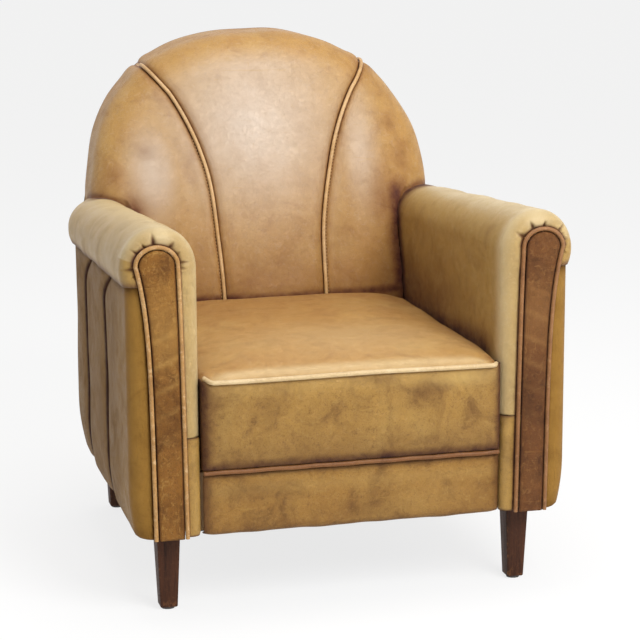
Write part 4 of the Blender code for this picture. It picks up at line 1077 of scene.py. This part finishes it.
def back_surface(share, v):
    """Point x, depth, z of the back's leather, its share 0 on the middle line and 1 at the edge."""
    way = np.where(share < 0, -1.0, 1.0)
    part = np.clip(np.abs(share), 0, 1)
    face = ramp(v, 0, 0.74)
    turn = ramp(v, 0.74, 0.95) * np.pi / 2
    tail = ramp(v, 0.95, 1.0)
    x_top, z_top = arch(part * WING_TURN, BACK_ROUND * (1 - np.sin(turn)))
    wing = np.clip(part - SEAM_SHARE, 0, 1) / (1 - SEAM_SHARE)
    foot = SEAM_FOOT * np.clip(part / SEAM_SHARE, 0, 1) + (0.2438 - SEAM_FOOT) * wing
    bend = 3.7 + (14.0 - 3.7) * wing
    z = BACK_LOW_Z + (z_top - BACK_LOW_Z) * face
    rise = np.clip((z - BACK_FOOT_Z) / (z_top - BACK_FOOT_Z), 0, 1)
    x = np.where(turn > 0, x_top, foot + (x_top - foot) * rise ** bend)
    q = np.where(part > SEAM_SHARE, 1 - wing, part / SEAM_SHARE)
    dip = 0.007 * q ** 4
    depth = back_base(z) + BACK_CURVE * np.minimum(x, ARCH_HALF - BACK_ROUND) ** 2 + dip
    depth = depth + BACK_ROUND * (1 - np.cos(turn))
    rear = back_base(z) + BACK_DEPTH
    depth = depth + (rear - depth) * tail
    x, z = settled(way * x, z)
    return x, depth, z


def back_shape(first, last, skirt):
    """The stretch of the back between two shares, with a skirt tucked down behind an arm."""
    def shape(u, v):
        along, down = ramp(u, 0, 1), 0 * u
        if skirt < 0:
            along, down = ramp(u, SKIRT_SHARE, 1), 1 - ramp(u, 0, SKIRT_SHARE)
        elif skirt > 0:
            along, down = ramp(u, 0, 1 - SKIRT_SHARE), ramp(u, 1 - SKIRT_SHARE, 1)
        share = first + (last - first) * along
        x, depth, z = back_surface(share, v)
        if skirt:
            over = (np.abs(x) > ARM_INNER + 0.001) & (down > 0)
            floor = arm_top(np.abs(x), depth) + 0.0012
            z = np.where(over, np.minimum(z, np.maximum(z - SKIRT * down, floor)), z)
        gap = np.ones_like(x)
        for way in (-1, 1):
            seam_x = back_surface(np.full_like(share, way * SEAM_SHARE), v)[0]
            gap = np.minimum(gap, np.abs(x - seam_x))
        swell = -0.0048 * near(gap, 0.0050) + 0.0016 * near(gap - 0.016, 0.010)
        swell = swell + 0.0020 * slack(x, z, 13.0) * smooth(gap, 0.01, 0.05)
        face = 1 - smooth(v, 0.74, 0.86)
        neck = np.abs(ARM_INNER - np.abs(x))
        crevice = near(neck, 0.026) * (1 - smooth(z - 0.02 * (x > 0), 0.555, 0.605)) * face
        over_arm = np.clip(z - arm_top(np.abs(x), depth), 0, 1)
        # Painted shadow lines beside the seam pipings, painted shade in the crevices by the arms and the
        # seat and round the rim, darker towards the bottom, with dark spots near the arms.
        shade_and_grime = strongest(
            0.95 * near(gap, 0.0042) + 0.30 * near(gap, 0.016), 0.95 * crevice,
            0.75 * near(over_arm, 0.010) * smooth(np.abs(x), 0.238, 0.256),
            0.9 * near(z - 0.405, 0.014), 0.46 * near(z - 0.405, 0.09),
            0.34 * smooth(0.58 - z, 0.0, 0.15),
            0.55 * spot(x, z, 0.225, 0.56, 0.035, 0.06), 0.4 * spot(x, z, 0.245, 0.70, 0.016, 0.02),
            0.45 * spot(x, z, 0.262, 0.64, 0.02, 0.03), 0.4 * spot(x, z, -0.272, 0.62, 0.016, 0.02),
            0.34 * spot(x, z, -0.215, 0.665, 0.016, 0.014), 0.22 * smooth(v, 0.88, 0.99))
        # A broad painted highlight in the middle and on each wing, partly wear.
        rub_and_highlight = strongest(
            spot(x, z, -0.020, 0.71, 0.15, 0.15), 0.85 * spot(x, z, -0.205, 0.63, 0.045, 0.08),
            0.70 * spot(x, z, 0.180, 0.66, 0.035, 0.10)) * face
        return x, depth, z, swell, shade_and_grime, rub_and_highlight * smooth(gap, 0.0, 0.012)
    return shape


# The back leather's pinkish palest colour paints its broad highlight.
BACK_LEATHER = leather(
    "back_leather", (190, 142, 70), (200, 158, 88), (222, 202, 182),
    (120, 62, 10), 0.75, 0.18, shine=0.42)
SEAM_GAP = 0.0015
BACK_PANELS = (
    ("left_back_panel", -1.0, -SEAM_SHARE - SEAM_GAP, -1, 100, "back_leather_left"),
    ("centre_back_panel", -SEAM_SHARE + SEAM_GAP, SEAM_SHARE - SEAM_GAP, 0, 130,
     "back_leather_centre"),
    ("right_back_panel", SEAM_SHARE + SEAM_GAP, 1.0, 1, 100, "back_leather_right"),
)
back_panels = {}
for name, first, last, skirt, columns, replaced in BACK_PANELS:
    panel = surface(name, columns, 150, back_shape(first, last, skirt))
    nodes = [replaced, "back_stuffing"] if skirt == 0 else [replaced]
    finish_piece(panel, BACK_LEATHER, nodes)
    back_panels[name] = panel

BACK_PIPING = leather(
    "back_piping", (198, 154, 94), (226, 192, 146), (234, 204, 164),
    (104, 58, 20), 0.7, 0.3, 0.0004)
THREAD = leather(
    "seam_thread", (196, 152, 98), (214, 176, 124), (220, 184, 134),
    (120, 80, 40), 0.5, 0.1)
STITCH_PITCH = 0.0062
STITCH_LENGTH = 0.0034
STITCH_RADIUS = 0.0010


def stitches(name, panel, points):
    """A row of short stitches on the panel's leather. One is modelled, and the others are copies."""
    bpy.ops.object.select_all(action="DESELECT")
    bpy.ops.mesh.primitive_uv_sphere_add(segments=8, ring_count=6, radius=1.0)
    model = bpy.context.object
    model.scale = (STITCH_RADIUS, STITCH_RADIUS, STITCH_LENGTH / 2)
    bpy.ops.object.transform_apply(location=False, rotation=False, scale=True)
    model.select_set(False)
    travelled = 0.0
    for here, after in zip(points, points[1:]):
        travelled += (after - here).length
        if travelled < STITCH_PITCH:
            continue
        travelled -= STITCH_PITCH
        _, at, normal, _ = panel.closest_point_on_mesh(here)
        stitch = model.copy()
        stitch.data = model.data.copy()
        stitch.location = at + normal * STITCH_RADIUS * 0.4
        stitch.rotation_euler = (after - here).to_track_quat("Z", "Y").to_euler()
        bpy.context.collection.objects.link(stitch)
        stitch.select_set(True)
        bpy.context.view_layer.objects.active = stitch
    bpy.data.objects.remove(model)
    bpy.ops.object.join()
    bpy.ops.object.transform_apply(location=True, rotation=True, scale=True)
    row = bpy.context.object
    row.name = row.data.name = name
    row.data.shade_smooth()
    finish_piece(row, THREAD, None)


def seam_points(share, low, high, lift, count):
    """Points up a line of the back, lifted off its leather."""
    v = np.linspace(low, high, count)
    x, depth, z = back_surface(np.full_like(v, share), v)
    turn = ramp(v, 0.74, 0.95) * np.pi / 2
    return [
        Vector((px, FRONT + pd - lift * math.cos(t), pz + lift * math.sin(t)))
        for px, pd, pz, t in zip(x, depth, z, turn)]


for name, side in SIDES:
    route = seam_points(side * SEAM_SHARE, 0.09, 0.955, 0.0006, 150)
    piping(
        name + "_back_seam_piping", route, 0.0034, BACK_PIPING,
        [name + "_back_piping"])
    beside = seam_points(side * (SEAM_SHARE + 0.0165), 0.10, 0.60, 0.0, 900)
    stitches(name + "_back_stitches", back_panels[name + "_back_panel"], beside)

# Outside back: one leather over a board, from the arch down past the shoulders to under the rear
# rail, with a folded edge. It is nailed on last and closes the chair behind.
PANEL_GAP = 0.0018
PANEL_THICK = 0.0040
SHOULDER_X = 0.3185
OUTSIDE_FOOT_X = 0.3340
SHOULDER_Z = 0.560
OUTSIDE_LOW_Z = 0.1362


def outside_back_shape(u, v):
    way = np.where(u < 0.5, 1.0, -1.0)
    part = np.abs(1 - 2 * u)
    turn = WING_TURN * ramp(part, 0, 0.84)
    top_x, top_z = arch(turn, 0.0035)
    corner = ramp(part, 0.84, 1.0)
    top_x = top_x + (SHOULDER_X - top_x) * corner
    top_z = top_z + (SHOULDER_Z - top_z) * corner
    z = OUTSIDE_LOW_Z + (top_z - OUTSIDE_LOW_Z) * v
    foot = OUTSIDE_FOOT_X * part
    x = foot + (top_x - foot) * v ** 3
    x = x - 0.010 * part * np.clip(1 - (z - OUTSIDE_LOW_Z) / 0.080, 0, 1) ** 2
    edge = np.minimum(np.minimum(v, 1 - v) * (top_z - OUTSIDE_LOW_Z), (1 - part) * SHOULDER_X)
    swell = -0.0022 * near(edge, 0.004) + 0.0012 * slack(x, z, 9.0) * smooth(edge, 0, 0.05)
    depth = back_base(z) + BACK_DEPTH + PANEL_GAP + PANEL_THICK - 0.0005
    # Painted shade along the edges, darker towards the bottom; a pale patch in the middle of wear and
    # painted highlight.
    shade_and_grime = np.maximum(0.7 * near(edge, 0.004), 0.35 * smooth(0.30 - z, 0, 0.14))
    rub_and_highlight = 0.3 * spot(x, z, 0.0, 0.62, 0.2, 0.14)
    x, z = settled(way * x, z)
    return x, depth, z, swell, shade_and_grime, rub_and_highlight


OUTSIDE_LEATHER = leather(
    "outside_back_leather", (172, 132, 68), (188, 152, 88), (198, 166, 104),
    (88, 50, 16), 0.7, 0.25)
outside_back = surface("outside_back_panel", 96, 96, outside_back_shape, 1, 0.0032)
finish_piece(outside_back, OUTSIDE_LEATHER, ["outside_back"])
